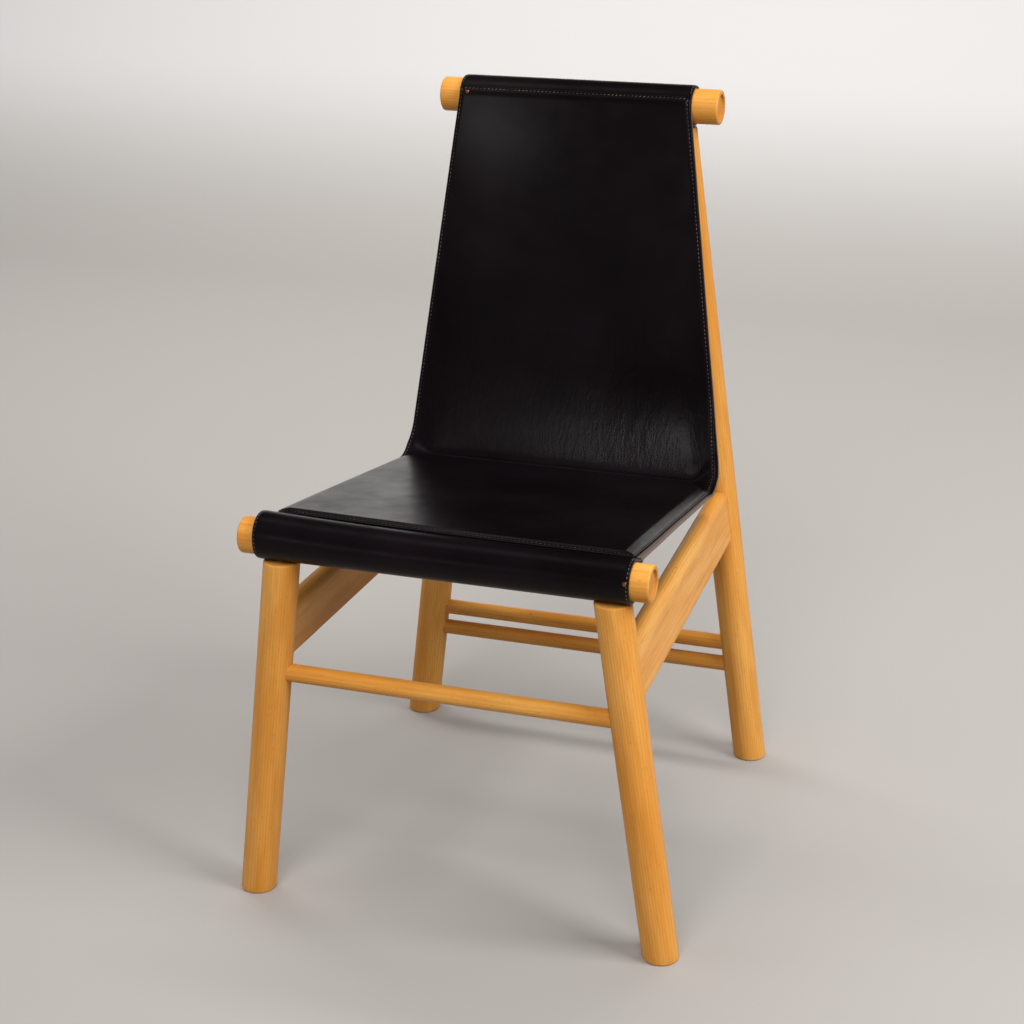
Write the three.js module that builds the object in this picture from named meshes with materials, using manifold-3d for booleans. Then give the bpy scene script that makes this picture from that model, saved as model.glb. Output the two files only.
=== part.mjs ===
// A sling dining chair: a frame of round hardwood legs, boards and rods, and a black
// saddle leather sling hung between a roller over the front legs and one over the rear posts.
// Millimetres. X runs across the chair, the sitter looks along -Y, Z is up, the floor is Z = 0.
import * as THREE from 'three';
import { mergeVertices } from 'three/addons/utils/BufferGeometryUtils.js';
import manifold from 'manifold-3d';

const wasm = await manifold();
wasm.setup();

// Leg and post sticks
const post_radius = 20;
const post_arris = 2.5;
const front_feet_apart = 478.6;
const feet_front_to_back = 484.9;
const front_leg_lean_in = 57.5;
const front_leg_lean_forward = 5;
const rear_foot_inset = 16.3;
const rear_post_lean_in = 106.1;
const rear_post_lean_forward = 6.5;

// Rollers
const roller_radius = 20;
const roller_arris = 2.2;
const recess_radius = 14.8;
const recess_depth = 3.5;
const front_roller_height = 440;
const front_roller_past_leather = 21;
const top_roller_height = 827.4;
const top_roller_past_leather = 27;

// Side rails
const rail_thickness = 24;
const rail_depth = 64;
const rail_below_front_roller = 114;
const rail_rear_height = 331;
const rail_low_arris = 3;

// Stretcher rods
const front_stretcher_radius = 10;
const front_stretcher_below_rail = 3.2;
const rear_stretcher_radius = 9.5;
const lower_stretcher_height = 124.1;
const space_between_stretchers = 10.1;

// Hidden dowels
const rail_dowel_radius = 5;
const rail_dowel_length = 44;
const rail_dowel_past_axis = 4;
const rail_dowel_spacing = 28;
const roller_dowel_radius = 6;
const roller_dowel_in_leg = 32;
const roller_dowel_in_roller = 14;

// Sling leather
const base_thickness = 3.6;
const panel_thickness = 3.4;
const crease_before_rear_feet = 88.4;
const crease_z = 393.1;
const crease_radius = 11;
const pinch_radius = 4.5;
const front_flap_length = 30;
const rear_flap_length = 34;
const leather_past_front_legs = 5.2;
const crease_narrowing = 10;
const leather_past_rear_posts = 5.1;
const flap_narrowing = 4;
const dip_turn = THREE.MathUtils.degToRad(20);
const dip_radius = 52.5;
const panel_inset = 3.5;
const panel_start = 0.8;
const panel_top_turn = THREE.MathUtils.degToRad(27);

// Seat pad, and the sloping border of the panel that lies over it
const pad_thickness = 4.2;
const pad_side_border = 11.5;
const pad_front_border = 8.5;
const pad_rear_border = 12;

// Copper rivets
const rivet_head_radius = 2.4;
const rivet_head_rise = 1.1;
const rivet_shank_radius = 1;
const rivet_shank_length = 14;
const top_rivet_from_edge = 10.5;
const top_rivet_turn = THREE.MathUtils.degToRad(19);
const front_rivet_from_edge = 3.4;
const front_rivet_turn = THREE.MathUtils.degToRad(16);

// Clearances
const fit_gap = 0.3;
const bore_gap = 0.2;

// Facets
const round_facets = 40;
const small_facets = 16;
const arris_steps = 3;
const arc_step = THREE.MathUtils.degToRad(12.5);
const crease_step = THREE.MathUtils.degToRad(12);
const line_step = 34;

// Colours read from the photo
const honey_wood = { color: 0xd9983f, roughness: 0.42, metalness: 0 };
const shaded_wood = { color: 0xc98a3a, roughness: 0.5, metalness: 0 };
const pale_wood = { color: 0xdcb37a, roughness: 0.7, metalness: 0 };
const black_leather = { color: 0x1d1b1e, roughness: 0.45, metalness: 0 };
const panel_leather = { color: 0x232125, roughness: 0.4, metalness: 0 };
const grey_felt = { color: 0x6f6a63, roughness: 0.95, metalness: 0 };
const copper = { color: 0xb0755a, roughness: 0.35, metalness: 1 };

// Sizes that follow from the ones above
const front_foot_x = front_feet_apart / 2;
const front_foot_y = -feet_front_to_back / 2;
const front_head_x = front_foot_x - front_leg_lean_in;
const front_head_y = front_foot_y - front_leg_lean_forward;
const rear_foot_x = front_foot_x - rear_foot_inset;
const rear_foot_y = feet_front_to_back / 2;
const rear_head_x = rear_foot_x - rear_post_lean_in;
const rear_head_y = rear_foot_y - rear_post_lean_forward;
const crease_y = rear_foot_y - crease_before_rear_feet;
const rail_front_height = front_roller_height - rail_below_front_roller;
const front_stretcher_height = rail_front_height - rail_depth / 2
  - front_stretcher_below_rail - front_stretcher_radius;
const upper_stretcher_height = lower_stretcher_height + rear_stretcher_radius * 2
  + space_between_stretchers;
const wrap_half_width = front_head_x + post_radius + leather_past_front_legs;
const crease_half_width = wrap_half_width - crease_narrowing;
const top_half_width = rear_head_x + post_radius + leather_past_rear_posts;
const front_flap_half_width = wrap_half_width - flap_narrowing;
const rear_flap_half_width = top_half_width - flap_narrowing;
const front_roller_half = wrap_half_width + front_roller_past_leather;
const top_roller_half = top_half_width + top_roller_past_leather;
const top_rivet_x = top_rivet_from_edge - top_half_width;
const front_rivet_x = wrap_half_width - front_rivet_from_edge;
const wrap_radius = roller_radius + fit_gap + base_thickness / 2;
const wrap_outer = wrap_radius + base_thickness / 2;
const front_leg_top = front_roller_height - wrap_outer - fit_gap;
const rear_post_top = top_roller_height - wrap_outer - fit_gap;
const flap_offset = base_thickness + fit_gap;
const bend_gap = base_thickness / 2 + fit_gap;
const seat_line_off_axis = (wrap_radius + dip_radius) * Math.cos(dip_turn) - dip_radius;
const panel_rise = pad_thickness + fit_gap;

const chair = new THREE.Group();
chair.name = 'sling_chair';

// Solid helpers
function closedGeometry(source) {
  const bare = source.clone();
  bare.deleteAttribute('normal');
  bare.deleteAttribute('uv');
  const joined = mergeVertices(bare, 1e-4);
  const from = joined.index.array;
  const kept = [];
  for (let i = 0; i < from.length; i += 3) {
    const [a, b, c] = [from[i], from[i + 1], from[i + 2]];
    if (a !== b && b !== c && c !== a) kept.push(a, b, c);
  }
  joined.setIndex(kept);
  if (signedVolume(joined) < 0) {
    for (let i = 0; i < kept.length; i += 3) {
      [kept[i + 1], kept[i + 2]] = [kept[i + 2], kept[i + 1]];
    }
    joined.setIndex(kept);
  }
  return joined;
}

function signedVolume(geometry) {
  const p = geometry.getAttribute('position');
  const index = geometry.index.array;
  const corner = [0, 1, 2].map(() => new THREE.Vector3());
  let sum = 0;
  for (let i = 0; i < index.length; i += 3) {
    corner.forEach((v, k) => v.fromBufferAttribute(p, index[i + k]));
    sum += corner[0].dot(corner[1].cross(corner[2]));
  }
  return sum;
}

function toSolid(geometry) {
  const closed = closedGeometry(geometry);
  return new wasm.Manifold(new wasm.Mesh({
    numProp: 3,
    vertProperties: Float32Array.from(closed.getAttribute('position').array),
    triVerts: Uint32Array.from(closed.index.array),
  }));
}

function toGeometry(solid) {
  const mesh = solid.getMesh();
  const geometry = new THREE.BufferGeometry();
  const stride = mesh.numProp;
  const count = mesh.vertProperties.length / stride;
  const points = new Float32Array(count * 3);
  for (let i = 0; i < count; i += 1) {
    for (let k = 0; k < 3; k += 1) points[i * 3 + k] = mesh.vertProperties[i * stride + k];
  }
  geometry.setAttribute('position', new THREE.BufferAttribute(points, 3));
  geometry.setIndex(Array.from(mesh.triVerts));
  return geometry;
}

function cut(geometry, tools) {
  let solid = toSolid(geometry);
  for (const tool of tools) solid = solid.subtract(toSolid(tool));
  return toGeometry(solid);
}

function addPiece(name, geometry, finish) {
  const placed = closedGeometry(geometry);
  placed.computeBoundingBox();
  const middle = placed.boundingBox.getCenter(new THREE.Vector3());
  placed.translate(-middle.x, -middle.y, -middle.z);
  placed.computeVertexNormals();
  const mesh = new THREE.Mesh(placed, new THREE.MeshStandardMaterial(finish));
  mesh.name = name;
  mesh.position.copy(middle);
  chair.add(mesh);
}

// Round sticks: a turned profile along Z, then leaned by shearing so that its ends stay level
function turned(profile, facets) {
  const points = profile.map(([r, z]) => new THREE.Vector2(r, z));
  const lathe = new THREE.LatheGeometry(points, facets);
  lathe.rotateX(Math.PI / 2);
  return lathe;
}

function stickProfile(radius, low, high, arris) {
  const profile = [[0, low]];
  for (let i = 0; i <= arris_steps; i += 1) {
    const turn = (Math.PI / 2) * (i / arris_steps);
    profile.push([radius - arris * (1 - Math.sin(turn)), low + arris * (1 - Math.cos(turn))]);
  }
  for (let i = arris_steps; i >= 0; i -= 1) {
    const turn = (Math.PI / 2) * (i / arris_steps);
    profile.push([radius - arris * (1 - Math.sin(turn)), high - arris * (1 - Math.cos(turn))]);
  }
  profile.push([0, high]);
  return profile;
}

function plainProfile(radius, low, high) {
  return [[0, low], [radius, low], [radius, high], [0, high]];
}

function leanedStick(line, profile) {
  const stick = turned(profile, round_facets);
  const kx = (line.head.x - line.foot.x) / (line.head.z - line.foot.z);
  const ky = (line.head.y - line.foot.y) / (line.head.z - line.foot.z);
  const shear = new THREE.Matrix4().set(
    Math.hypot(1, kx), 0, kx, line.foot.x,
    0, Math.hypot(1, ky), ky, line.foot.y,
    0, 0, 1, 0,
    0, 0, 0, 1,
  );
  stick.applyMatrix4(shear);
  return stick;
}

function pointAt(line, z) {
  return line.foot.clone().lerp(line.head, (z - line.foot.z) / (line.head.z - line.foot.z));
}

// A straight rod between two points
function rodBetween(start, end, radius, facets, arris = 0) {
  const along = end.clone().sub(start);
  const length = along.length();
  const shape = arris ? stickProfile(radius, 0, length, arris) : plainProfile(radius, 0, length);
  const rod = turned(shape, facets);
  const turn = new THREE.Quaternion().setFromUnitVectors(new THREE.Vector3(0, 0, 1), along.normalize());
  rod.applyQuaternion(turn);
  rod.translate(start.x, start.y, start.z);
  return rod;
}

// Leg lines for one side: side is -1 for the left and 1 for the right, seen from the front
function legLine(side) {
  return {
    foot: new THREE.Vector3(side * front_foot_x, front_foot_y, 0),
    head: new THREE.Vector3(side * front_head_x, front_head_y, front_roller_height),
  };
}

function postLine(side) {
  return {
    foot: new THREE.Vector3(side * rear_foot_x, rear_foot_y, 0),
    head: new THREE.Vector3(side * rear_head_x, rear_head_y, top_roller_height),
  };
}

// Side rail frame: origin at the front leg's axis, x along the rail, y across it, z up it
function railFrame(side) {
  const start = pointAt(legLine(side), rail_front_height);
  const end = pointAt(postLine(side), rail_rear_height);
  const along = end.clone().sub(start);
  const length = along.length();
  along.normalize();
  const lean = legLine(side).head.clone().sub(legLine(side).foot).normalize();
  const across = new THREE.Vector3().crossVectors(lean, along).normalize();
  const up = new THREE.Vector3().crossVectors(along, across);
  const matrix = new THREE.Matrix4().makeBasis(along, across, up).setPosition(start);
  return { matrix, length };
}

function railDowelRods(side, extra_radius, extra_length) {
  const { matrix, length } = railFrame(side);
  const rods = [];
  for (const level of [-1, 1]) {
    const z = (level * rail_dowel_spacing) / 2;
    const near = rail_dowel_past_axis;
    const far = near + rail_dowel_length;
    const ends = { front: [near, far], rear: [length - far, length - near] };
    for (const [end, [from, to]] of Object.entries(ends)) {
      const start = new THREE.Vector3(from - extra_length, 0, z).applyMatrix4(matrix);
      const stop = new THREE.Vector3(to + extra_length, 0, z).applyMatrix4(matrix);
      const rod = rodBetween(start, stop, rail_dowel_radius + extra_radius, small_facets);
      rods.push({ end, level: level < 0 ? 'lower' : 'upper', rod });
    }
  }
  return rods;
}

function sideRail(side) {
  const { matrix, length } = railFrame(side);
  const half = rail_thickness / 2;
  const low = -rail_depth / 2;
  const high = rail_depth / 2;
  const outline = new THREE.Shape();
  outline.moveTo(-half + rail_low_arris, low);
  outline.lineTo(half - rail_low_arris, low);
  outline.absarc(half - rail_low_arris, low + rail_low_arris, rail_low_arris, -Math.PI / 2, 0, false);
  outline.absarc(0, high - half, half, 0, Math.PI, false);
  outline.absarc(-half + rail_low_arris, low + rail_low_arris, rail_low_arris, Math.PI, Math.PI * 1.5, false);
  const board = new THREE.ExtrudeGeometry(outline, {
    depth: length,
    bevelEnabled: false,
    curveSegments: small_facets / 2,
  });
  const upright = new THREE.Matrix4().makeBasis(
    new THREE.Vector3(0, 1, 0),
    new THREE.Vector3(0, 0, 1),
    new THREE.Vector3(1, 0, 0),
  );
  board.applyMatrix4(upright).applyMatrix4(matrix);
  const clear = post_radius + fit_gap;
  const scribes = [
    leanedStick(legLine(side), plainProfile(clear, 0, front_leg_top)),
    leanedStick(postLine(side), plainProfile(clear, 0, rear_post_top)),
  ];
  const bores = railDowelRods(side, bore_gap, fit_gap).map((each) => each.rod);
  return cut(board, [...scribes, ...bores]);
}

// Stretchers run level from leg axis to leg axis, in blind sockets
function stretcherRod(line, height, radius, extra) {
  const right = pointAt(line(1), height);
  const left = pointAt(line(-1), height);
  left.x -= extra;
  right.x += extra;
  return { left, right, radius: radius + (extra ? bore_gap : 0) };
}

function stretcher(line, height, radius) {
  const { left, right } = stretcherRod(line, height, radius, 0);
  return rodBetween(left, right, radius, round_facets, post_arris / 2);
}

function stretcherSocket(line, height, radius) {
  const rod = stretcherRod(line, height, radius, fit_gap);
  return rodBetween(rod.left, rod.right, rod.radius, round_facets);
}

// Upright dowels pin each roller to the leg or post under it, through the leather
function rollerDowel(side, line, top, extra_radius, extra_length) {
  const axis = pointAt(line(side), top);
  const head = top + fit_gap + base_thickness + fit_gap + roller_dowel_in_roller;
  const start = new THREE.Vector3(axis.x, axis.y, top - roller_dowel_in_leg - extra_length);
  const end = new THREE.Vector3(axis.x, axis.y, head + extra_length);
  return rodBetween(start, end, roller_dowel_radius + extra_radius, small_facets);
}

function frontLeg(side) {
  const line = legLine(side);
  const stick = leanedStick(line, stickProfile(post_radius, 0, front_leg_top, post_arris));
  const rails = railDowelRods(side, bore_gap, fit_gap).filter((each) => each.end === 'front');
  return cut(stick, [
    ...rails.map((each) => each.rod),
    stretcherSocket(legLine, front_stretcher_height, front_stretcher_radius),
    rollerDowel(side, legLine, front_leg_top, bore_gap, fit_gap),
  ]);
}

function rearPost(side) {
  const line = postLine(side);
  const stick = leanedStick(line, stickProfile(post_radius, 0, rear_post_top, post_arris));
  const rails = railDowelRods(side, bore_gap, fit_gap).filter((each) => each.end === 'rear');
  return cut(stick, [
    ...rails.map((each) => each.rod),
    stretcherSocket(postLine, lower_stretcher_height, rear_stretcher_radius),
    stretcherSocket(postLine, upper_stretcher_height, rear_stretcher_radius),
    rollerDowel(side, postLine, rear_post_top, bore_gap, fit_gap),
  ]);
}

// Rollers, with a shallow recess turned in each end
function rollerProfile(half) {
  const profile = [[0, -half + recess_depth], [recess_radius, -half + recess_depth]];
  profile.push([recess_radius, -half + roller_arris / 2], [recess_radius + roller_arris / 2, -half]);
  for (let i = 0; i <= arris_steps; i += 1) {
    const turn = (Math.PI / 2) * (i / arris_steps);
    const inset = roller_arris * (1 - Math.sin(turn));
    profile.push([roller_radius - inset, -half + roller_arris * (1 - Math.cos(turn))]);
  }
  const mirrored = profile.map(([r, z]) => [r, -z]).reverse();
  return [...profile, ...mirrored];
}

function roller(half, y, z, tools) {
  const shape = turned(rollerProfile(half), round_facets);
  shape.rotateY(Math.PI / 2);
  shape.translate(0, y, z);
  return cut(shape, tools);
}

// Sling path in the Y-Z plane, walked from the flap under the seat, round the front roller,
// along the seat, up the back and round the top roller to the flap behind the back
const front_axis = new THREE.Vector2(front_head_y, front_roller_height);
const top_axis = new THREE.Vector2(rear_head_y, top_roller_height);
const corner = new THREE.Vector2(crease_y, crease_z);

function slingWalk() {
  const to_corner = corner.clone().sub(front_axis);
  const seat_dip = Math.asin(seat_line_off_axis / to_corner.length());
  const seat_angle = to_corner.angle() - Math.PI * 2 - seat_dip;
  const to_top = top_axis.clone().sub(corner);
  const back_angle = to_top.angle() + Math.asin(wrap_radius / to_top.length());
  const dip_reach = (wrap_radius + dip_radius) * Math.sin(dip_turn);
  const seat_length = Math.sqrt(to_corner.lengthSq() - seat_line_off_axis ** 2) - dip_reach;
  const back_length = Math.sqrt(to_top.lengthSq() - wrap_radius ** 2);
  const fold = back_angle - seat_angle;
  const fold_tangent = crease_radius * Math.tan(fold / 2);
  const pinch_reach = wrap_radius + pinch_radius;
  const front_tilt = Math.asin((seat_line_off_axis - flap_offset - pinch_radius) / pinch_reach);
  const top_tilt = Math.asin((wrap_radius - flap_offset - pinch_radius) / pinch_reach);
  const heading = new THREE.Vector2(Math.cos(seat_angle), Math.sin(seat_angle));
  const normal = new THREE.Vector2(-heading.y, heading.x);
  const start = front_axis.clone()
    .addScaledVector(normal, seat_line_off_axis - flap_offset)
    .addScaledVector(heading, pinch_reach * Math.cos(front_tilt) + front_flap_length);
  const quarter = Math.PI / 2;
  const moves = [
    { part: 'front_flap', length: front_flap_length },
    { part: 'front_pinch', turn: quarter + front_tilt, radius: pinch_radius },
    { part: 'front_wrap', turn: -(3 * quarter + front_tilt + dip_turn), radius: wrap_radius },
    { part: 'dip', turn: dip_turn, radius: dip_radius },
    { part: 'seat', length: seat_length - fold_tangent },
    { part: 'crease', turn: fold, radius: crease_radius },
    { part: 'back', length: back_length - fold_tangent },
    { part: 'top_wrap', turn: -(3 * quarter + top_tilt), radius: wrap_radius },
    { part: 'top_pinch', turn: quarter + top_tilt, radius: pinch_radius },
    { part: 'top_flap', length: rear_flap_length },
  ];
  return { start, angle: seat_angle + Math.PI, moves };
}

function walkStations(walk) {
  const stations = [];
  let { angle } = walk;
  const here = walk.start.clone();
  for (const move of walk.moves) {
    const size = move.length ?? Math.abs(move.turn) * move.radius;
    const step = move.part === 'crease' ? crease_step : arc_step;
    const count = Math.ceil(move.length ? move.length / line_step : Math.abs(move.turn) / step);
    for (let i = 0; i < count; i += 1) {
      const done = i / count;
      stations.push({ part: move.part, reach: size * done, size, ...placeOn(move, here, angle, done) });
    }
    const end = placeOn(move, here, angle, 1);
    here.copy(end.point);
    angle = end.angle;
    if (move === walk.moves.at(-1)) stations.push({ part: move.part, reach: size, size, ...end });
  }
  return stations;
}

function placeOn(move, here, angle, done) {
  if (move.length) {
    const point = here.clone();
    point.x += Math.cos(angle) * move.length * done;
    point.y += Math.sin(angle) * move.length * done;
    return { point, angle };
  }
  const side = Math.sign(move.turn);
  const middle = here.clone();
  middle.x -= Math.sin(angle) * move.radius * side;
  middle.y += Math.cos(angle) * move.radius * side;
  const next = angle + move.turn * done;
  const point = middle.clone();
  point.x += Math.sin(next) * move.radius * side;
  point.y -= Math.cos(next) * move.radius * side;
  return { point, angle: next };
}

// Flat half width of the leather at a station
function halfWidth(station) {
  const done = station.reach / station.size;
  const blend = THREE.MathUtils.lerp;
  const widths = {
    front_flap: blend(front_flap_half_width, wrap_half_width, done),
    front_pinch: wrap_half_width,
    front_wrap: wrap_half_width,
    dip: wrap_half_width,
    seat: blend(wrap_half_width, crease_half_width, done),
    crease: crease_half_width,
    back: blend(crease_half_width, top_half_width, done),
    top_wrap: top_half_width,
    top_pinch: top_half_width,
    top_flap: blend(top_half_width, rear_flap_half_width, done),
  };
  return widths[station.part];
}

// A point of the leather: out from the middle, lifted off the leather's middle surface
function leatherPoint(station, out, lift) {
  const y = station.point.x - Math.sin(station.angle) * lift;
  const z = station.point.y + Math.cos(station.angle) * lift;
  return [out, y, z];
}

// A sheet over the stations. section(station) lists, from the middle to the right edge, how
// far out each point of the section stands and the lifts of its lower and upper face
function leatherSheet(stations, section) {
  const rows = [];
  for (const station of stations) {
    const right = section(station);
    const left = right.slice(1).reverse().map(({ out, ...lifts }) => ({ out: -out, ...lifts }));
    for (const face of ['low', 'high']) {
      rows.push([...left, ...right].map((place) => leatherPoint(station, place.out, place[face])));
    }
  }
  const points = rows.flat(2);
  const width = rows[0].length;
  const at = (row, column) => row * width + column;
  const index = [];
  const quad = (a, b, c, d) => index.push(a, b, c, a, c, d);
  for (let i = 0; i + 1 < stations.length; i += 1) {
    const [under, over, next_under, next_over] = [2 * i, 2 * i + 1, 2 * i + 2, 2 * i + 3];
    for (let j = 0; j + 1 < width; j += 1) {
      quad(at(over, j), at(over, j + 1), at(next_over, j + 1), at(next_over, j));
      quad(at(under, j), at(next_under, j), at(next_under, j + 1), at(under, j + 1));
    }
    quad(at(under, 0), at(over, 0), at(next_over, 0), at(next_under, 0));
    quad(at(over, width - 1), at(under, width - 1), at(next_under, width - 1), at(next_over, width - 1));
  }
  const last = 2 * stations.length - 2;
  for (let j = 0; j + 1 < width; j += 1) {
    quad(at(0, j), at(0, j + 1), at(1, j + 1), at(1, j));
    quad(at(last, j), at(last + 1, j), at(last + 1, j + 1), at(last, j + 1));
  }
  const sheet = new THREE.BufferGeometry();
  sheet.setAttribute('position', new THREE.BufferAttribute(Float32Array.from(points), 3));
  sheet.setIndex(index);
  return sheet;
}

// The base leather is flat across, the same thickness everywhere
function baseSection(station) {
  const lifts = { low: -base_thickness / 2, high: base_thickness / 2 };
  return [{ out: 0, ...lifts }, { out: halfWidth(station), ...lifts }];
}

// The panel stands over the pad and slopes down to the base along its sewn border
function panelSection(station) {
  const edge = halfWidth(station) - panel_inset;
  const rise = panel_rise * padShare(station);
  const place = (out, risen) => ({ out, low: bend_gap + risen, high: bend_gap + panel_thickness + risen });
  return [place(0, rise), place(edge - pad_side_border, rise), place(edge, 0)];
}

function padSection(station) {
  const edge = halfWidth(station) - panel_inset - pad_side_border - fit_gap;
  const lifts = { low: bend_gap, high: bend_gap + pad_thickness };
  return [{ out: 0, ...lifts }, { out: edge, ...lifts }];
}

// How much of its full height the panel stands over the pad: none at its front edge or crease
function padShare(station) {
  if (station.part !== 'seat') return 0;
  const from_front = (station.reach - panel_start) / pad_front_border;
  const from_rear = (station.size - station.reach) / pad_rear_border;
  return THREE.MathUtils.clamp(Math.min(from_front, from_rear), 0, 1);
}

const walk = slingWalk();
const base_stations = walkStations(walk);

// A station at a reach along one part of the walk
function stationOn(part, reach) {
  const move = walk.moves.find((each) => each.part === part);
  const first = base_stations.find((station) => station.part === part);
  const size = move.length ?? Math.abs(move.turn) * move.radius;
  return { part, reach, size, ...placeOn(move, first.point, first.angle, reach / size) };
}

const seat_size = base_stations.find((station) => station.part === 'seat').size;
const pad_start = panel_start + pad_front_border;
const pad_end = seat_size - pad_rear_border;

function seatStations(starts, ends) {
  const between = base_stations.filter((station) => (
    station.part === 'seat' && station.reach > starts && station.reach < ends
  ));
  return [stationOn('seat', starts), ...between, stationOn('seat', ends)];
}

// The face panel lies on the seat and back, from behind the front roller to the top roller
function panelStations() {
  const top_end = panel_top_turn * wrap_radius;
  const above = base_stations.filter((station) => (
    station.part === 'crease'
    || station.part === 'back'
    || (station.part === 'top_wrap' && station.reach < top_end)
  ));
  return [
    stationOn('seat', panel_start),
    ...seatStations(pad_start, pad_end),
    ...above,
    stationOn('top_wrap', top_end),
  ];
}

// Rivets point at the roller's axis; turn is measured up from level at the roller's front
function rivetFrame(x, y, z, turn, seat_radius) {
  const out = new THREE.Vector3(0, -Math.cos(turn), Math.sin(turn));
  const seat = new THREE.Vector3(x, y, z).addScaledVector(out, seat_radius);
  return { out, seat };
}

function rivet({ out, seat }) {
  const profile = [[0, -rivet_shank_length], [rivet_shank_radius, -rivet_shank_length]];
  profile.push([rivet_shank_radius, 0], [rivet_head_radius, 0]);
  for (let i = 1; i < arris_steps; i += 1) {
    const turn = (Math.PI / 2) * (i / arris_steps);
    profile.push([rivet_head_radius * Math.cos(turn), rivet_head_rise * Math.sin(turn)]);
  }
  profile.push([0, rivet_head_rise]);
  const body = turned(profile, small_facets);
  const turn = new THREE.Quaternion().setFromUnitVectors(new THREE.Vector3(0, 0, 1), out);
  body.applyQuaternion(turn);
  body.translate(seat.x, seat.y, seat.z);
  return body;
}

function rivetBore({ out, seat }) {
  const start = seat.clone().addScaledVector(out, -rivet_shank_length - fit_gap);
  const end = seat.clone().addScaledVector(out, rivet_shank_length);
  return rodBetween(start, end, rivet_shank_radius + bore_gap, small_facets);
}

const panel_outer = wrap_outer + fit_gap + panel_thickness;
const top_rivet = rivetFrame(
  top_rivet_x, rear_head_y, top_roller_height, top_rivet_turn, panel_outer + fit_gap,
);
const front_rivet = rivetFrame(
  front_rivet_x, front_head_y, front_roller_height, front_rivet_turn, wrap_outer + fit_gap,
);

// Assembly
const sides = { left: -1, right: 1 };
for (const [side_name, side] of Object.entries(sides)) {
  addPiece(`front_leg_${side_name}`, frontLeg(side), honey_wood);
  addPiece(`rear_post_${side_name}`, rearPost(side), honey_wood);
  addPiece(`side_rail_${side_name}`, sideRail(side), honey_wood);
  for (const { end, level, rod } of railDowelRods(side, 0, 0)) {
    addPiece(`rail_dowel_${side_name}_${end}_${level}`, rod, pale_wood);
  }
  addPiece(
    `front_roller_dowel_${side_name}`,
    rollerDowel(side, legLine, front_leg_top, 0, 0),
    pale_wood,
  );
  addPiece(
    `top_roller_dowel_${side_name}`,
    rollerDowel(side, postLine, rear_post_top, 0, 0),
    pale_wood,
  );
}
addPiece('front_stretcher', stretcher(legLine, front_stretcher_height, front_stretcher_radius), honey_wood);
addPiece(
  'rear_stretcher_lower',
  stretcher(postLine, lower_stretcher_height, rear_stretcher_radius),
  shaded_wood,
);
addPiece(
  'rear_stretcher_upper',
  stretcher(postLine, upper_stretcher_height, rear_stretcher_radius),
  shaded_wood,
);

const front_bores = [
  ...[-1, 1].map((side) => rollerDowel(side, legLine, front_leg_top, bore_gap, fit_gap)),
  rivetBore(front_rivet),
];
addPiece(
  'front_roller',
  roller(front_roller_half, front_head_y, front_roller_height, front_bores),
  honey_wood,
);
const top_bores = [
  ...[-1, 1].map((side) => rollerDowel(side, postLine, rear_post_top, bore_gap, fit_gap)),
  rivetBore(top_rivet),
];
addPiece('top_roller', roller(top_roller_half, rear_head_y, top_roller_height, top_bores), honey_wood);

const base_sheet = leatherSheet(base_stations, baseSection);
addPiece('sling_base', cut(base_sheet, [...front_bores, ...top_bores]), black_leather);
const panel_sheet = leatherSheet(panelStations(), panelSection);
addPiece('sling_panel', cut(panel_sheet, [rivetBore(top_rivet)]), panel_leather);
const pad_stations = seatStations(pad_start + fit_gap, pad_end - fit_gap);
addPiece('seat_pad', leatherSheet(pad_stations, padSection), grey_felt);
addPiece('rivet_top_left', rivet(top_rivet), copper);
addPiece('rivet_front_right', rivet(front_rivet), copper);

// Stand the chair centred over the floor origin
const bounds = new THREE.Box3().setFromObject(chair, true);
const centre = bounds.getCenter(new THREE.Vector3());
for (const piece of chair.children) piece.position.sub(new THREE.Vector3(centre.x, centre.y, bounds.min.z));

export default chair;
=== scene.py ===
"""The finished look of a sling dining chair: honey coloured sticks, boards and rods, and a
black saddle leather sling sewn in two layers and wrapped round two rollers.

Metres throughout. X runs across the chair, the sitter looks along -Y and the floor is Z = 0.
"""

import logging
import math
from dataclasses import dataclass, field
from enum import Enum
from typing import Any, Iterable, Mapping, Sequence

import bmesh
import bpy
import numpy as np
from mathutils import Euler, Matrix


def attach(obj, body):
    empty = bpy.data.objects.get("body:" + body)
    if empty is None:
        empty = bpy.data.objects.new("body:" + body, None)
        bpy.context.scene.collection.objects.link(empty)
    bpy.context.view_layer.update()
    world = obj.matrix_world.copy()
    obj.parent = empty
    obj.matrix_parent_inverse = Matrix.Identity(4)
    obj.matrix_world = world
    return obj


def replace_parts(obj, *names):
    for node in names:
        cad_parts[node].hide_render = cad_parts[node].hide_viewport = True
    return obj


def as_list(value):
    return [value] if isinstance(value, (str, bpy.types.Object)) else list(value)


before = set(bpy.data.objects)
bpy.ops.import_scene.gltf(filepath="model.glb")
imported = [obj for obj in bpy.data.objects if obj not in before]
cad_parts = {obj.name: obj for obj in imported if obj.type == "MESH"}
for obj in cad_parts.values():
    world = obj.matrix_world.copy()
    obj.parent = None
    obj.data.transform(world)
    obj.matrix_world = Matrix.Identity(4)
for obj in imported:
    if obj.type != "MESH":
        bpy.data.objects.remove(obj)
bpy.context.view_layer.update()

MM = 0.001
NOISE_CELLS = 64

# The types that most signatures name
Material = bpy.types.Material
Piece = bpy.types.Object
Socket = bpy.types.NodeSocket
Array = np.ndarray

log = logging.getLogger("sling_chair")


# Colours


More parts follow.
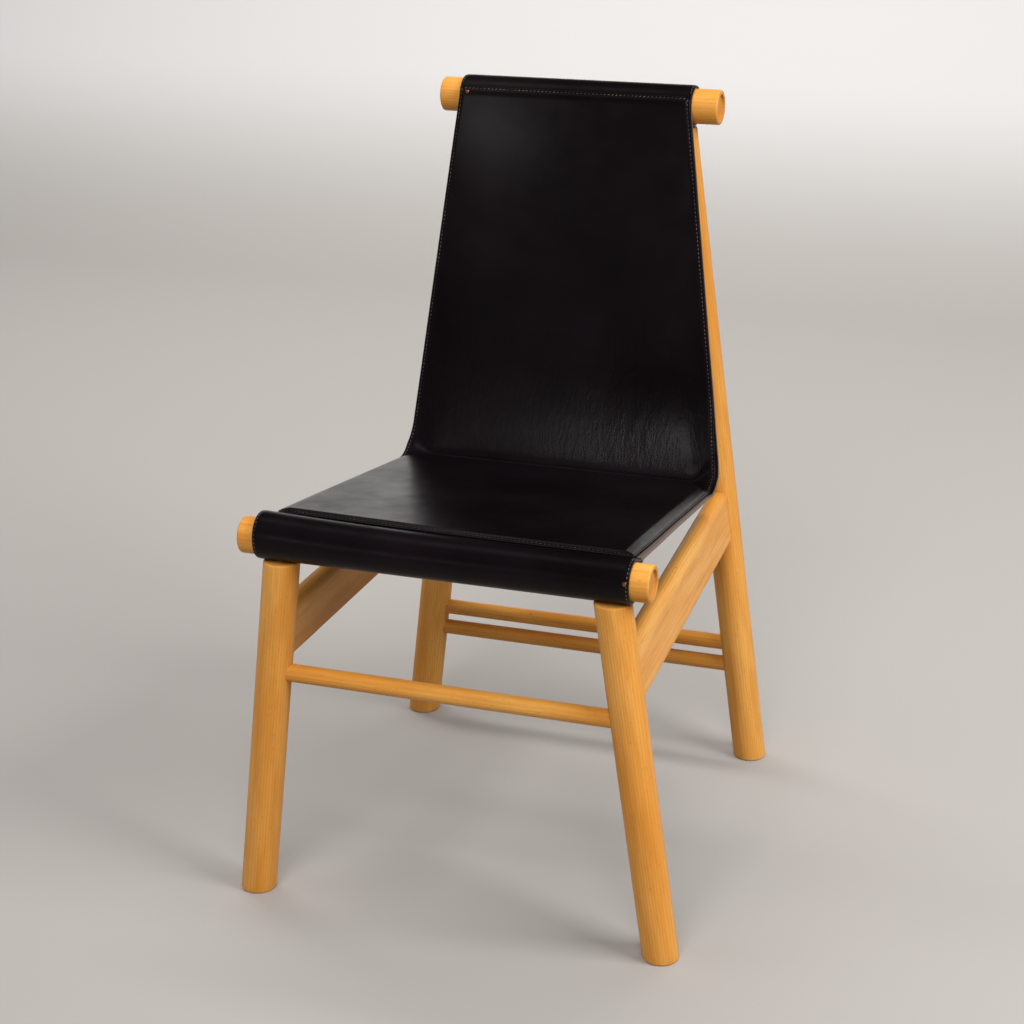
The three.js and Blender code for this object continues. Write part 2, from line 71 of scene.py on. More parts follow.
def linear(hex_code: str) -> tuple[float, float, float, float]:
    """Turns a written sRGB colour into Blender's linear one.

    Args:
        hex_code: Six hex digits, such as "d9983f".

    Returns:
        Red, green, blue and an alpha of 1, each channel c as ((c + 0.055) / 1.055) ^ 2.4
        above the toe of the curve and c / 12.92 on it.
    """
    channels = [int(hex_code[i : i + 2], 16) / 255 for i in (0, 2, 4)]
    turned = [c / 12.92 if c <= 0.04045 else ((c + 0.055) / 1.055) ** 2.4 for c in channels]
    return (turned[0], turned[1], turned[2], 1.0)


# Node trees


# Inputs and output of a Mix node, for colours and for single values
SHARE, LOW, HIGH, BELOW, ABOVE = 0, 2, 3, 6, 7
MIXED = 2


class Maths(Enum):
    """The arithmetic that a value goes through on its way to a shader."""

    TIMES = "MULTIPLY"
    LARGER = "MAXIMUM"


class Tree:
    """A material's node tree, which starts as one Principled shader."""

    def __init__(self, name: str, inputs: Mapping[str, Any]) -> None:
        """Starts a material and sets its shader's named inputs.

        Args:
            name: The material's name.
            inputs: Shader input name to its value.
        """
        self.material = bpy.data.materials.new(name)
        self.material.use_nodes = True
        self.tree = self.material.node_tree
        self.shader = self.tree.nodes["Principled BSDF"]
        self.fill(self.shader, inputs)

    def fill(self, node: bpy.types.Node, inputs: Any) -> None:
        """Sets or links a node's inputs.

        Args:
            node: The node.
            inputs: Input name or number to its value, or the values of the first inputs in
                order. A socket is linked, a hex colour is turned linear, the rest is set.
        """
        pairs = inputs.items() if isinstance(inputs, Mapping) else enumerate(inputs)
        for key, value in pairs:
            if isinstance(value, Socket):
                self.tree.links.new(value, node.inputs[key])
            else:
                node.inputs[key].default_value = linear(value) if isinstance(value, str) else value

    def add(self, kind: str, inputs: Any = (), **settings: Any) -> bpy.types.NodeOutputs:
        """Adds one shader node with its settings and incoming links.

        Args:
            kind: The node type without the ShaderNode prefix.
            inputs: What its inputs hold, as fill takes it.
            settings: Properties of the node itself, such as operation=Maths.TIMES.

        Returns:
            The new node's outputs.
        """
        made = self.tree.nodes.new(f"ShaderNode{kind}")
        for name, value in settings.items():
            setattr(made, name, value.value if isinstance(value, Enum) else value)
        self.fill(made, inputs)
        return made.outputs

    def clouds(
        self, over: Socket, rows: Mapping[str, tuple[Sequence[float], float]]
    ) -> dict[str, Socket]:
        """Draws a finish's cloudy patterns over one coordinate.

        Args:
            over: The coordinate, in metres.
            rows: Name to cycles per metre along each axis, and octaves of detail.

        Returns:
            Name to the pattern, which runs from 0 to 1.
        """
        found = {}
        for name, (scale, detail) in rows.items():
            where = self.add("Mapping", {"Vector": over, "Scale": scale})["Vector"]
            noise = {"Vector": where, "Scale": 1.0, "Detail": detail}
            found[name] = self.add("TexNoise", noise)["Fac"]
        return found

    def tones(self, colour: Any, *rows: tuple[Socket, float, float, float, float, Any]) -> Socket:
        """Lays tones over a colour one after another.

        Args:
            colour: The lowest colour.
            rows: A pattern, where on it the tone starts and is full, the tone's share at
                those two places, and the tone. The share eases between them.

        Returns:
            The finished colour.
        """
        for *eased, tone in rows:
            share = self.add("MapRange", eased, interpolation_type="SMOOTHSTEP")[0]
            mix = {SHARE: share, BELOW: colour, ABOVE: tone}
            colour = self.add("Mix", mix, data_type="RGBA")[MIXED]
        return colour

    def relief(self, *rows: tuple[Socket, float, float], under: Any = None) -> Socket:
        """Bumps the surface by one height after another.

        Args:
            rows: A height from 0 to 1, its depth in metres and its strength.
            under: The normal that the first one starts from, if it isn't the piece's own.

        Returns:
            The bumped normal.
        """
        for height, depth, strength in rows:
            bump = {"Height": height, "Distance": depth, "Strength": strength}
            under = self.add("Bump", bump if under is None else {**bump, "Normal": under})["Normal"]
        return under

    def finish(self, inputs: Mapping[str, Any]) -> Material:
        """Feeds the shader its last inputs and returns the material."""
        self.fill(self.shader, inputs)
        return self.material


# Finishes


@dataclass(frozen=True)
class LacqueredBeech:
    """Beech or birch turned and planed smooth, under a clear satin lacquer gone honey coloured.

    The lacquer evens the tone, leaves the ray flecks and faint growth rings showing, and gives
    a soft highlight along every rounded edge.
    """

    name: str = "lacquered_beech"
    light: str = "f0b25a"
    honey: str = "e29940"
    deep: str = "c47727"
    fleck: str = "9a5c20"
    end_grain: str = "bf7c33"
    ring_spacing: float = 3.2 * MM
    fibre_width: float = 1.3 * MM
    fleck_width: float = 1.1 * MM
    roughness: float = 0.4

    def build(self) -> Material:
        """Builds the material over the piece's "grain" attribute, whose Z runs along the grain.

        Returns:
            The material.
        """
        made = Tree(
            self.name,
            {
                "IOR": 1.5,
                "Specular IOR Level": 0.18,
                "Coat Weight": 0.05,
                "Coat Roughness": 0.22,
            },
        )
        grain = made.add("Attribute", attribute_name="grain")["Vector"]
        end = made.add("Attribute", attribute_name="end")["Fac"]
        # Clouds of tone are 38 mm wide and 250 mm long, finer ones 14 by 91 mm. Real fibres and
        # flecks are too fine to show, so they are drawn 1.3 mm and 1.1 mm wide.
        across, short = 1 / self.fibre_width, 1 / self.fleck_width
        found = made.clouds(
            grain,
            {
                "broad": ((26, 26, 4), 3),
                "clouds": ((70, 70, 11), 2),
                "fibre": ((across, across, 16), 4),
                "fleck": ((short, short, 150), 1),
            },
        )
        rings = made.add(
            "TexWave",
            {
                "Vector": made.add("Mapping", {"Vector": grain, "Scale": (1, 1, 0.06)})["Vector"],
                "Scale": math.tau / 20 / self.ring_spacing,
                "Distortion": 2.2,
                "Detail": 2.0,
                "Detail Scale": 0.35,
            },
            wave_type="RINGS",
            rings_direction="Z",
        )["Fac"]
        # Dark pin specks, one about every 59 mm
        pins = made.add("TexVoronoi", {"Vector": grain, "Scale": 17.0, "Randomness": 1.0})["Distance"]
        colour = made.tones(
            self.honey,
            (found["broad"], 0.3, 0.7, 0.0, 1.0, self.light),
            (found["clouds"], 0.45, 0.75, 0.0, 0.35, self.deep),
            (rings, 0.2, 1.0, 0.0, 0.22, self.deep),
            (found["fibre"], 0.5, 0.75, 0.0, 0.4, self.deep),
            (found["fleck"], 0.66, 0.78, 0.0, 0.45, self.fleck),
            (pins, 0.012, 0.028, 0.75, 0.0, self.fleck),
        )
        cut = made.add("Math", (end, 0.55), operation=Maths.TIMES)[0]
        mix = {SHARE: cut, BELOW: colour, ABOVE: self.end_grain}
        colour = made.add("Mix", mix, data_type="RGBA")[MIXED]
        gloss = (found["clouds"], 0.2, 0.8, self.roughness - 0.04, self.roughness + 0.07)
        return made.finish(
            {
                "Base Color": colour,
                "Roughness": made.add("MapRange", gloss, interpolation_type="SMOOTHSTEP")[0],
                "Normal": made.relief((found["fibre"], 0.03 * MM, 0.5)),
            }
        )


@dataclass(frozen=True)
class BareDowel:
    """A turned hardwood dowel left bare for glue: pale, dry and without gloss."""

    name: str = "bare_dowel"
    pale: str = "dcb37a"
    dark: str = "c79a5f"

    def build(self) -> Material:
        """Builds the material over Object coordinates, because the dowels are CAD nodes.

        Returns:
            The material.
        """
        made = Tree(self.name, {"Roughness": 0.72})
        # The pores' tone changes every 3 mm, coarser than real so that it shows
        found = made.clouds(made.add("TexCoord")["Object"], {"grain": ((300, 300, 300), 3)})
        colour = made.tones(self.pale, (found["grain"], 0.3, 0.7, 0.0, 1.0, self.dark))
        return made.finish({"Base Color": colour})


@dataclass(frozen=True)
class SaddleLeather:
    """Vegetable tanned saddle leather, dyed black on its grain side, waxed and polished by use.

    The grain side is a deep warm black with a satin sheen that breaks up over fine pores and
    creases. Its cut edges are burnished grey, and its flesh side is a dull brown-grey nap.
    """

    name: str = "black_saddle_leather"
    black: str = "080506"
    worn: str = "110b0e"
    tint: tuple[float, float, float, float] = (1.0, 0.9, 0.99, 1.0)
    edge: str = "1f1c1c"
    raw: str = "665850"
    flesh: str = "3c342e"
    flesh_light: str = "574c43"
    pore: float = 1.5 * MM
    roughness: float = 0.31
    polish: float = 0.45

    def build(self) -> Material:
        """Builds the material over the sheet's "hide" attribute, metres on the flat leather.

        Returns:
            The material.
        """
        made = Tree(
            self.name,
            {
                "IOR": 1.5,
                "Specular IOR Level": 0.12,
                "Specular Tint": self.tint,
                "Coat Roughness": 0.27,
            },
        )
        hide = made.add("Attribute", attribute_name="hide")["Vector"]
        edge, raw, under, rubbed, creased, polished, puckered = (
            made.add("Attribute", attribute_name=name)["Fac"]
            for name in ("edge", "raw", "flesh", "rubbed", "creased", "polished", "puckered")
        )
        # Wear is 111 mm long and gloss 29 mm, furrows are 8 mm apart and 33 mm long, and the
        # border's puckers 3 mm apart. Pores 1.5 mm apart and a nap of 2.4 mm are coarser than
        # real, because finer ones wouldn't show.
        found = made.clouds(
            hide,
            {
                "broad": ((9, 9, 9), 3),
                "patch": ((34, 34, 34), 3),
                "fine": ((420, 420, 420), 2),
                "wave": ((120, 30, 120), 3),
                "ribs": ((55, 300, 55), 1),
            },
        )
        pores = {"Vector": hide, "Scale": 1 / self.pore, "Randomness": 1.0}
        pores = made.add("TexVoronoi", pores, feature="SMOOTH_F1")["Distance"]
        # A furrow runs where the wave passes its middle value, up one slope and down the other
        rise, fall, gloss = (
            made.add("MapRange", sizes, interpolation_type="SMOOTHSTEP")[0]
            for sizes in (
                (found["wave"], 0.4, 0.5, 0.0, 1.0),
                (found["wave"], 0.5, 0.6, 1.0, 0.0),
                (found["patch"], 0.25, 0.8, self.roughness - 0.03, self.roughness + 0.1),
            )
        )
        both, ribs, shine, worn, cut = (
            made.add("Math", pair, operation=Maths.TIMES)[0]
            for pair in (
                (rise, fall),
                (found["ribs"], puckered),
                (polished, self.polish),
                (rubbed, 0.6),
                (edge, raw),
            )
        )
        furrow = made.add("Math", (both, creased), operation=Maths.TIMES)[0]
        colour = made.tones(self.black, (found["broad"], 0.3, 0.75, 0.0, 1.0, self.worn))
        nap = made.tones(self.flesh, (found["fine"], 0.35, 0.7, 0.0, 1.0, self.flesh_light))
        rim = made.add("Mix", {SHARE: raw, BELOW: self.edge, ABOVE: self.raw}, data_type="RGBA")[MIXED]
        for share, above in ((worn, self.worn), (edge, rim), (under, nap)):
            mix = {SHARE: share, BELOW: colour, ABOVE: above}
            colour = made.add("Mix", mix, data_type="RGBA")[MIXED]
        for share, dull in ((under, 0.92), (cut, 0.85)):
            gloss = made.add("Mix", {SHARE: share, LOW: gloss, HIGH: dull}, data_type="FLOAT")[0]
        grainy, last = made.relief((pores, 0.07 * MM, 0.35)), (found["fine"], 0.05 * MM, 0.35)
        return made.finish(
            {
                "Base Color": colour,
                "Roughness": gloss,
                "Coat Weight": shine,
                "Normal": made.relief(
                    (furrow, 0.4 * MM, 0.4), (ribs, 0.5 * MM, 0.6), last, under=grainy
                ),
                "Coat Normal": made.relief((furrow, 0.4 * MM, 0.2), last, under=grainy),
            }
        )


@dataclass(frozen=True)
class WaxedThread:
    """Twisted linen thread rubbed with wax and darkened by handling."""

    name: str = "waxed_linen_thread"
    light: str = "70635a"
    dark: str = "3c342e"

    def build(self) -> Material:
        """Builds the material, whose soil follows Object coordinates along the seam.

        Returns:
            The material.
        """
        made = Tree(self.name, {"Roughness": 0.62})
        # Soil changes every 18 mm, about four stitches
        found = made.clouds(made.add("TexCoord")["Object"], {"soil": ((55, 55, 55), 2)})
        colour = made.tones(self.light, (found["soil"], 0.35, 0.65, 0.0, 1.0, self.dark))
        return made.finish({"Base Color": colour})


@dataclass(frozen=True)
class PressedFelt:
    """Thin pressed wool felt, matt grey, as saddlers lay between two leathers."""

    name: str = "pressed_wool_felt"
    light: str = "837d75"
    dark: str = "5e5953"

    def build(self) -> Material:
        """Builds the material over the sheet's "hide" attribute, with the matted fibres.

        Returns:
            The material.
        """
        made = Tree(self.name, {"Roughness": 0.95})
        hide = made.add("Attribute", attribute_name="hide")["Vector"]
        # Matted fibres 1.4 mm wide, coarser than wool so that they show
        fibres = made.clouds(hide, {"fibres": ((700, 700, 700), 4)})["fibres"]
        colour = made.tones(self.light, (fibres, 0.3, 0.7, 0.0, 1.0, self.dark))
        return made.finish({"Base Color": colour, "Normal": made.relief((fibres, 0.3 * MM, 0.6))})


@dataclass(frozen=True)
class WornCopper:
    """A copper rivet head, hammered over a washer and browned by handling."""

    name: str = "worn_copper"
    bright: str = "b8734c"
    brown: str = "6f3f2a"

    def build(self) -> Material:
        """Builds the metal, rougher where it has browned.

        Returns:
            The material.
        """
        made = Tree(self.name, {"Metallic": 1.0})
        where = made.add("TexCoord")["Object"]
        # Stains are about 1.1 mm across, a quarter of the head
        stain = made.clouds(where, {"stain": ((900, 900, 900), 2)})["stain"]
        rough = made.add("MapRange", (stain, 0.35, 0.65, 0.3, 0.5), interpolation_type="SMOOTHSTEP")[0]
        colour = made.tones(self.bright, (stain, 0.35, 0.65, 0.0, 1.0, self.brown))
        return made.finish({"Base Color": colour, "Roughness": rough})


# Meshes


@dataclass
class Patch:
    """A grid of points, rows by columns, and what each point carries for the finish.

    Attributes:
        points: Array of rows x columns x 3, in metres.
        closed: True where the last column joins the first.
        flip: True where the grid's own order would face inwards.
        carried: Attribute name to an array of rows x columns, or rows x columns x 3.
    """

    points: Array
    closed: bool = False
    flip: bool = False
    carried: dict[str, Array] = field(default_factory=dict)

    def faces(self) -> Array:
        """Returns the grid's squares as four point numbers each, without a loop.

        Returns:
            Array of faces x 4.
        """
        rows, columns = self.points.shape[:2]
        number = np.arange(rows * columns).reshape(rows, columns)
        if self.closed:
            number = np.concatenate([number, number[:, :1]], axis=1)
        quads = np.stack([number[:-1, :-1], number[:-1, 1:], number[1:, 1:], number[1:, :-1]], -1)
        quads = quads.reshape(-1, 4)
        return quads[:, ::-1] if self.flip else quads


def link_object(name: str, data: Any) -> Piece:
    """Makes an object of a mesh, lamp or camera and links it to the scene.

    Args:
        name: The object's name.
        data: The mesh, lamp or camera.

    Returns:
        The new object.
    """
    made = bpy.data.objects.new(name, data)
    bpy.context.scene.collection.objects.link(made)
    return made


def build_piece(
    name: str, patches: Sequence[Patch], finish: Material, crease: float = 180.0
) -> Piece:
    """Joins patches into one closed, smooth piece at the origin.

    Args:
        name: The piece's name.
        patches: Its surfaces. Points that coincide are welded.
        finish: Its material.
        crease: Faces that meet at more than this many degrees keep a hard edge.

    Returns:
        The new object, linked to the scene.
    """
    starts = np.cumsum([0] + [p.points.shape[0] * p.points.shape[1] for p in patches[:-1]])
    points = np.concatenate([p.points.reshape(-1, 3) for p in patches])
    faces = np.concatenate([p.faces() + start for p, start in zip(patches, starts)])
    mesh = bpy.data.meshes.new(name)
    mesh.vertices.add(len(points))
    mesh.vertices.foreach_set("co", points.astype(np.float32).ravel())
    mesh.loops.add(faces.size)
    mesh.loops.foreach_set("vertex_index", faces.astype(np.int32).ravel())
    mesh.polygons.add(len(faces))
    mesh.polygons.foreach_set("loop_start", np.arange(0, faces.size, 4, dtype=np.int32))
    mesh.update(calc_edges=True)
    for key in patches[0].carried:
        values = np.concatenate([p.carried[key].reshape(p.points[..., 0].size, -1) for p in patches])
        vector = values.shape[1] == 3
        layer = mesh.attributes.new(key, "FLOAT_VECTOR" if vector else "FLOAT", "POINT")
        layer.data.foreach_set("vector" if vector else "value", values.astype(np.float32).ravel())
    work = bmesh.new()
    work.from_mesh(mesh)
    bmesh.ops.remove_doubles(work, verts=work.verts, dist=0.5e-5)
    bmesh.ops.dissolve_degenerate(work, edges=work.edges, dist=1e-7)
    work.to_mesh(mesh)
    work.free()
    mesh.shade_smooth()
    if crease < 180:
        mesh.set_sharp_from_angle(angle=math.radians(crease))
    mesh.materials.append(finish)
    made = link_object(name, mesh)
    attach(made, "root")
    return made


def smoothstep(value: Array, low: float, high: float) -> Array:
    """Eases from 0 at low to 1 at high as 3t^2 - 2t^3, flat on both sides."""
    t = np.clip((value - low) / (high - low), 0.0, 1.0)
    return t * t * (3 - 2 * t)


def between(knots: Mapping[float, float], s: Array) -> Array:
    """The value at a distance, straight between knots of distance to value."""
    return np.interp(s, list(knots), list(knots.values()))


def bell(distance: Array, width: float) -> Array:
    """A bell of height 1 about 0: exp(-(distance / width)^2)."""
    return np.exp(-((distance / width) ** 2))


def quarter_round(share: Array) -> Array:
    """Height from 0 to 1 of a quarter circle at a share of the way in from its edge."""
    return np.sqrt(np.maximum(1 - (1 - share) ** 2, 0))


def value_noise(x: Array, y: Array, seed: int) -> Array:
    """Smooth noise from 0 to 1 with one cycle per unit.

    A table of random numbers sits on whole coordinates, and a point takes the mix of its four
    neighbours, each weighted by the eased distance to it along X and along Y.

    Args:
        x: First coordinate.
        y: Second coordinate, of the same shape.
        seed: Which table of numbers.

    Returns:
        An array of the same shape.
    """
    table = np.random.default_rng(seed).random((NOISE_CELLS, NOISE_CELLS))
    low_x, low_y = np.floor(x).astype(int), np.floor(y).astype(int)
    share_x, share_y = smoothstep(x - low_x, 0, 1), smoothstep(y - low_y, 0, 1)
    at = lambda i, j: table[(low_x + i) % NOISE_CELLS, (low_y + j) % NOISE_CELLS]
    near = at(0, 0) * (1 - share_x) + at(1, 0) * share_x
    far = at(0, 1) * (1 - share_x) + at(1, 1) * share_x
    return near * (1 - share_y) + far * share_y


@dataclass(frozen=True)
class Ripple:
    """One layer of noise over the leather.

    Attributes:
        across: Length of a cycle across the leather, in metres.
        along: Length of a cycle along it.
        seed: Which table of numbers.
        share: How much of it is taken.
        bend: How far it follows the leather's own bend sideways.
    """

    across: float
    along: float
    seed: int
    share: float = 1.0
    bend: float = 0.0

    def at(self, a: Array, s: Array, bend: Any = 0.0) -> Array:
        """The noise from 0 to 1 at distances across and along, moved sideways by its bend."""
        return value_noise((a + self.bend * bend) / self.across, s / self.along, self.seed)


def lathe(profile: Array, facets: int) -> Array:
    """Turns a profile of (radius, height) rows round the Z axis.

    Each point is (radius cos a, radius sin a, height) for a from 0 to a full turn.

    Args:
        profile: Array of rows x 2.
        facets: Columns round the axis.

    Returns:
        Array of rows x facets x 3.
    """
    angle = np.arange(facets) * math.tau / facets
    radius, height = profile[:, :1], profile[:, 1:]
    return np.stack([radius * np.cos(angle), radius * np.sin(angle), height + 0 * angle], -1)


def rounded_bar(radius: float, low: float, high: float, arris: float, rings: int = 24) -> Array:
    """Profile of a round bar with eased ends, as (radius, height) rows from axis to axis.

    The arris is a quarter circle: radius R - e (1 - sin t), height low + e (1 - cos t).

    Args:
        radius: The bar's radius.
        low: Height of its foot.
        high: Height of its head.
        arris: Radius of the eased edge at each end.
        rings: Points along its side.

    Returns:
        Array of rows x 2.
    """
    t = np.linspace(0, math.pi / 2, 7)
    foot = np.stack([radius - arris * (1 - np.sin(t)), low + arris * (1 - np.cos(t))], -1)
    head = np.stack([foot[::-1, 0], high + low - foot[::-1, 1]], -1)
    inner = np.linspace(0, radius - arris, 5)[:-1]
    base = np.stack([inner, np.full_like(inner, low)], -1)
    top = np.stack([inner[::-1], np.full_like(inner, high)], -1)
    height = np.linspace(foot[-1, 1], head[0, 1], rings)[1:-1]
    side = np.stack([np.full_like(height, radius), height], -1)
    return np.concatenate([base, foot, side, head, top])


# Frame


class Side(Enum):
    """Which side of the chair a piece is on, seen from the front."""

    LEFT = -1
    RIGHT = 1

    @property
    def word(self) -> str:
        """The side's name in a piece's name."""
        return self.name.lower()


@dataclass(frozen=True)
class StickLine:
    """The axis of a leg or post, from its foot on the floor to its head at a roller's axis."""

    foot: tuple[float, float, float]
    head: tuple[float, float, float]

    def at(self, height: Any) -> Array:
        """Point or points of the axis at a height.

        Args:
            height: One height, or an array of them.

        Returns:
            A point, or an array of points.
        """
        share = (np.asarray(height, float) - self.foot[2]) / (self.head[2] - self.foot[2])
        foot, head = np.array(self.foot), np.array(self.head)
        return foot + share[..., None] * (head - foot)

    @property
    def lean(self) -> tuple[float, float]:
        """How far the axis moves along X and Y for each unit of height."""
        rise = self.head[2] - self.foot[2]
        return (self.head[0] - self.foot[0]) / rise, (self.head[1] - self.foot[1]) / rise

    def carry(self, bar: Array) -> Array:
        """Leans an upright bar so that its ends stay level.

        Each point moves by the lean times its height, and the section is stretched by
        hypot(1, lean), so that the stick keeps its radius across the axis.

        Args:
            bar: Points of a bar that stands upright on the origin.

        Returns:
            The leaned points.
        """
        lean_x, lean_y = self.lean
        x = self.foot[0] + bar[..., 0] * math.hypot(1, lean_x) + lean_x * bar[..., 2]
        y = self.foot[1] + bar[..., 1] * math.hypot(1, lean_y) + lean_y * bar[..., 2]
        return np.stack([x, y, bar[..., 2]], -1)


@dataclass
class StickFrame:
    """The legs, posts, side rails and stretchers.

    Attributes hold the sizes in metres; a front leg stops under the sling's wrap.
    """

    stick_radius: float = 20 * MM
    stick_arris: float = 2.5 * MM
    front_foot: tuple[float, float] = (239.3 * MM, -237.27 * MM)
    front_head: tuple[float, float] = (181.8 * MM, -242.27 * MM)
    front_axis: float = 440 * MM
    rear_foot: tuple[float, float] = (223.0 * MM, 247.63 * MM)
    rear_head: tuple[float, float] = (116.9 * MM, 241.13 * MM)
    rear_axis: float = 827.4 * MM
    below_axis: float = 24.2 * MM
    rail_thickness: float = 24 * MM
    rail_depth: float = 64 * MM
    rail_front: float = 326 * MM
    rail_rear: float = 331 * MM
    rail_arris: float = 3 * MM
    fit: float = 0.3 * MM
    stretchers: tuple[tuple[str, bool, float, float], ...] = (
        ("front_stretcher", True, 280.8 * MM, 10 * MM),
        ("rear_stretcher_lower", False, 124.1 * MM, 9.5 * MM),
        ("rear_stretcher_upper", False, 153.2 * MM, 9.5 * MM),
    )
    facets: int = 72

    def line(self, side: Side, front: bool) -> StickLine:
        """The axis of one leg or post.

        Args:
            side: Left or right.
            front: True for a front leg, False for a rear post.

        Returns:
            The axis.
        """
        foot, head, height = (
            (self.front_foot, self.front_head, self.front_axis)
            if front
            else (self.rear_foot, self.rear_head, self.rear_axis)
        )
        sign = side.value
        return StickLine((sign * foot[0], foot[1], 0.0), (sign * head[0], head[1], height))

    def stick(self, side: Side, front: bool, finish: Material) -> Piece:
        """Builds one leg or post as a leaned lathe with eased ends.

        Args:
            side: Left or right.
            front: True for a front leg, False for a rear post.
            finish: The wood.

        Returns:
            The finished piece.
        """
        top = (self.front_axis if front else self.rear_axis) - self.below_axis
        bar = lathe(rounded_bar(self.stick_radius, 0, top, self.stick_arris, 40), self.facets)
        name = f"{'front_leg' if front else 'rear_post'}_{side.word}"
        patch = self.wooden(bar, self.line(side, front).carry(bar), name)
        made = build_piece(f"turned_{name}", [patch], finish)
        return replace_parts(made, name)

    def wooden(self, local: Array, placed: Array, name: str) -> Patch:
        """A closed patch of wood that carries its grain direction and its end grain.

        The grain coordinate is the local point, moved to another part of the board for each
        piece, and end grain is where the surface is within a fraction of a millimetre of an end.

        Args:
            local: The points with Z along the grain.
            placed: The same points in their place.
            name: The piece's name, which picks its part of the board.

        Returns:
            The patch.
        """
        rng = np.random.default_rng(sum(map(ord, name)))
        offset = np.array([0.03 + 0.04 * rng.random(), 0.02 + 0.03 * rng.random(), 3 * rng.random()])
        low, high = local[..., 2].min(), local[..., 2].max()
        near = np.minimum(local[..., 2] - low, high - local[..., 2])
        end = 1 - smoothstep(near, 0.1 * MM, 0.7 * MM)
        return Patch(placed, closed=True, carried={"grain": local + offset, "end": end})

    def rail_outline(self) -> Array:
        """The rail's section as (across, up) rows: square foot with eased arrises, round top.

        The top is a half circle of half the thickness, and each lower corner a quarter circle.

        Returns:
            Array of points x 2.
        """
        half, low, high = self.rail_thickness / 2, -self.rail_depth / 2, self.rail_depth / 2
        small, e = np.linspace(0, math.pi / 2, 6), self.rail_arris
        right = np.stack([half - e + e * np.sin(small), low + e - e * np.cos(small)], -1)
        rise = np.linspace(low + e, high - half, 12)[1:-1]
        wall = np.stack([np.full_like(rise, half), rise], -1)
        turn = np.linspace(0, math.pi, 31)
        crown = np.stack([half * np.cos(turn), high - half + half * np.sin(turn)], -1)
        fall = wall[::-1] * (-1, 1)
        left = right[::-1] * (-1, 1)
        flat = np.linspace(-half + e, half - e, 7)[1:-1]
        floor = np.stack([flat, np.full_like(flat, low)], -1)
        return np.concatenate([right, wall, crown, fall, left, floor])

    def rail_axes(self, side: Side) -> tuple[Array, Array]:
        """Start point of a rail, and its axes along, across and up as rows.

        Args:
            side: Left or right.

        Returns:
            The point, and an array of three rows.
        """
        leg, post = self.line(side, True), self.line(side, False)
        start, end = leg.at(self.rail_front), post.at(self.rail_rear)
        along = (end - start) / np.linalg.norm(end - start)
        lean = np.array(leg.head) - np.array(leg.foot)
        across = np.cross(lean / np.linalg.norm(lean), along)
        across /= np.linalg.norm(across)
        return start, np.stack([along, across, np.cross(along, across)])

    def reach_to_stick(
        self, line: StickLine, start: Array, axes: Array, section: Array, far: bool
    ) -> Array:
        """How far along the rail each point of its section meets a stick.

        In the stick's upright frame a rail line is p + a d, and it meets the round where
        (p + a d)^2 = (radius + fit)^2, a quadratic in a; far picks its larger root.

        Args:
            line: The stick's axis.
            start: Start point of the rail.
            axes: The rail's axes along, across and up as rows.
            section: Points of its section as (across, up) rows.
            far: True for the larger root.

        Returns:
            One distance along the rail for each point.
        """
        lean_x, lean_y = line.lean
        squash = np.array([1 / math.hypot(1, lean_x), 1 / math.hypot(1, lean_y)])
        point = start + section[:, :1] * axes[1] + section[:, 1:] * axes[2]
        flat = lambda p: (p[..., :2] - np.multiply.outer(p[..., 2], [lean_x, lean_y])) * squash
        p = flat(point) - np.array(line.foot[:2]) * squash
        d = flat(axes[0])
        reach = self.stick_radius + self.fit
        a, b, c = d @ d, p @ d, (p * p).sum(-1) - reach**2
        root = np.sqrt(np.maximum(b * b - a * c, 0))
        return (-b + root) / a if far else (-b - root) / a

    def side_rail(self, side: Side, finish: Material) -> Piece:
        """Builds a rail as its section carried from leg to post, each end coped to the stick.

        Args:
            side: Left or right.
            finish: The wood.

        Returns:
            The finished piece.
        """
        start, axes = self.rail_axes(side)
        outline = self.rail_outline()
        core, cap, rings = 0.02, 6, 40
        cover = np.linspace(core, 1, cap)
        shrink = np.concatenate([cover, np.ones(rings), cover[::-1]])
        share = np.concatenate([np.zeros(cap), np.linspace(0, 1, rings + 2)[1:-1], np.ones(cap)])
        section = shrink[:, None, None] * outline
        flat = section.reshape(-1, 2)
        near = self.reach_to_stick(self.line(side, True), start, axes, flat, True)
        far = self.reach_to_stick(self.line(side, False), start, axes, flat, False)
        along = (near.reshape(section.shape[:2]), far.reshape(section.shape[:2]))
        reach = along[0] * (1 - share[:, None]) + along[1] * share[:, None]
        placed = start + reach[..., None] * axes[0]
        placed = placed + section[..., :1] * axes[1] + section[..., 1:] * axes[2]
        local = np.concatenate([section, reach[..., None]], -1)
        patch = self.wooden(local, placed, f"rail_{side.word}")
        made = build_piece(f"shaped_side_rail_{side.word}", [patch], finish, crease=35)
        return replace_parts(made, f"side_rail_{side.word}")

    def stretcher(
        self, name: str, front: bool, height: float, radius: float, finish: Material
    ) -> Piece:
        """Builds a level rod from stick axis to stick axis.

        The lathe's height runs along X and its own X runs up, so that the rod lies down.

        Args:
            name: The rod's name.
            front: True between the front legs, False between the rear posts.
            height: Height of its axis.
            radius: Its radius.
            finish: The wood.

        Returns:
            The finished piece.
        """
        left, right = (self.line(side, front).at(height) for side in Side)
        length = right[0] - left[0]
        bar = lathe(rounded_bar(radius, 0, length, radius / 8, 30), 48)
        placed = np.stack([bar[..., 2] + left[0], bar[..., 1] + left[1], -bar[..., 0] + left[2]], -1)
        made = build_piece(f"turned_{name}", [self.wooden(bar, placed, name)], finish)
        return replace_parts(made, name)

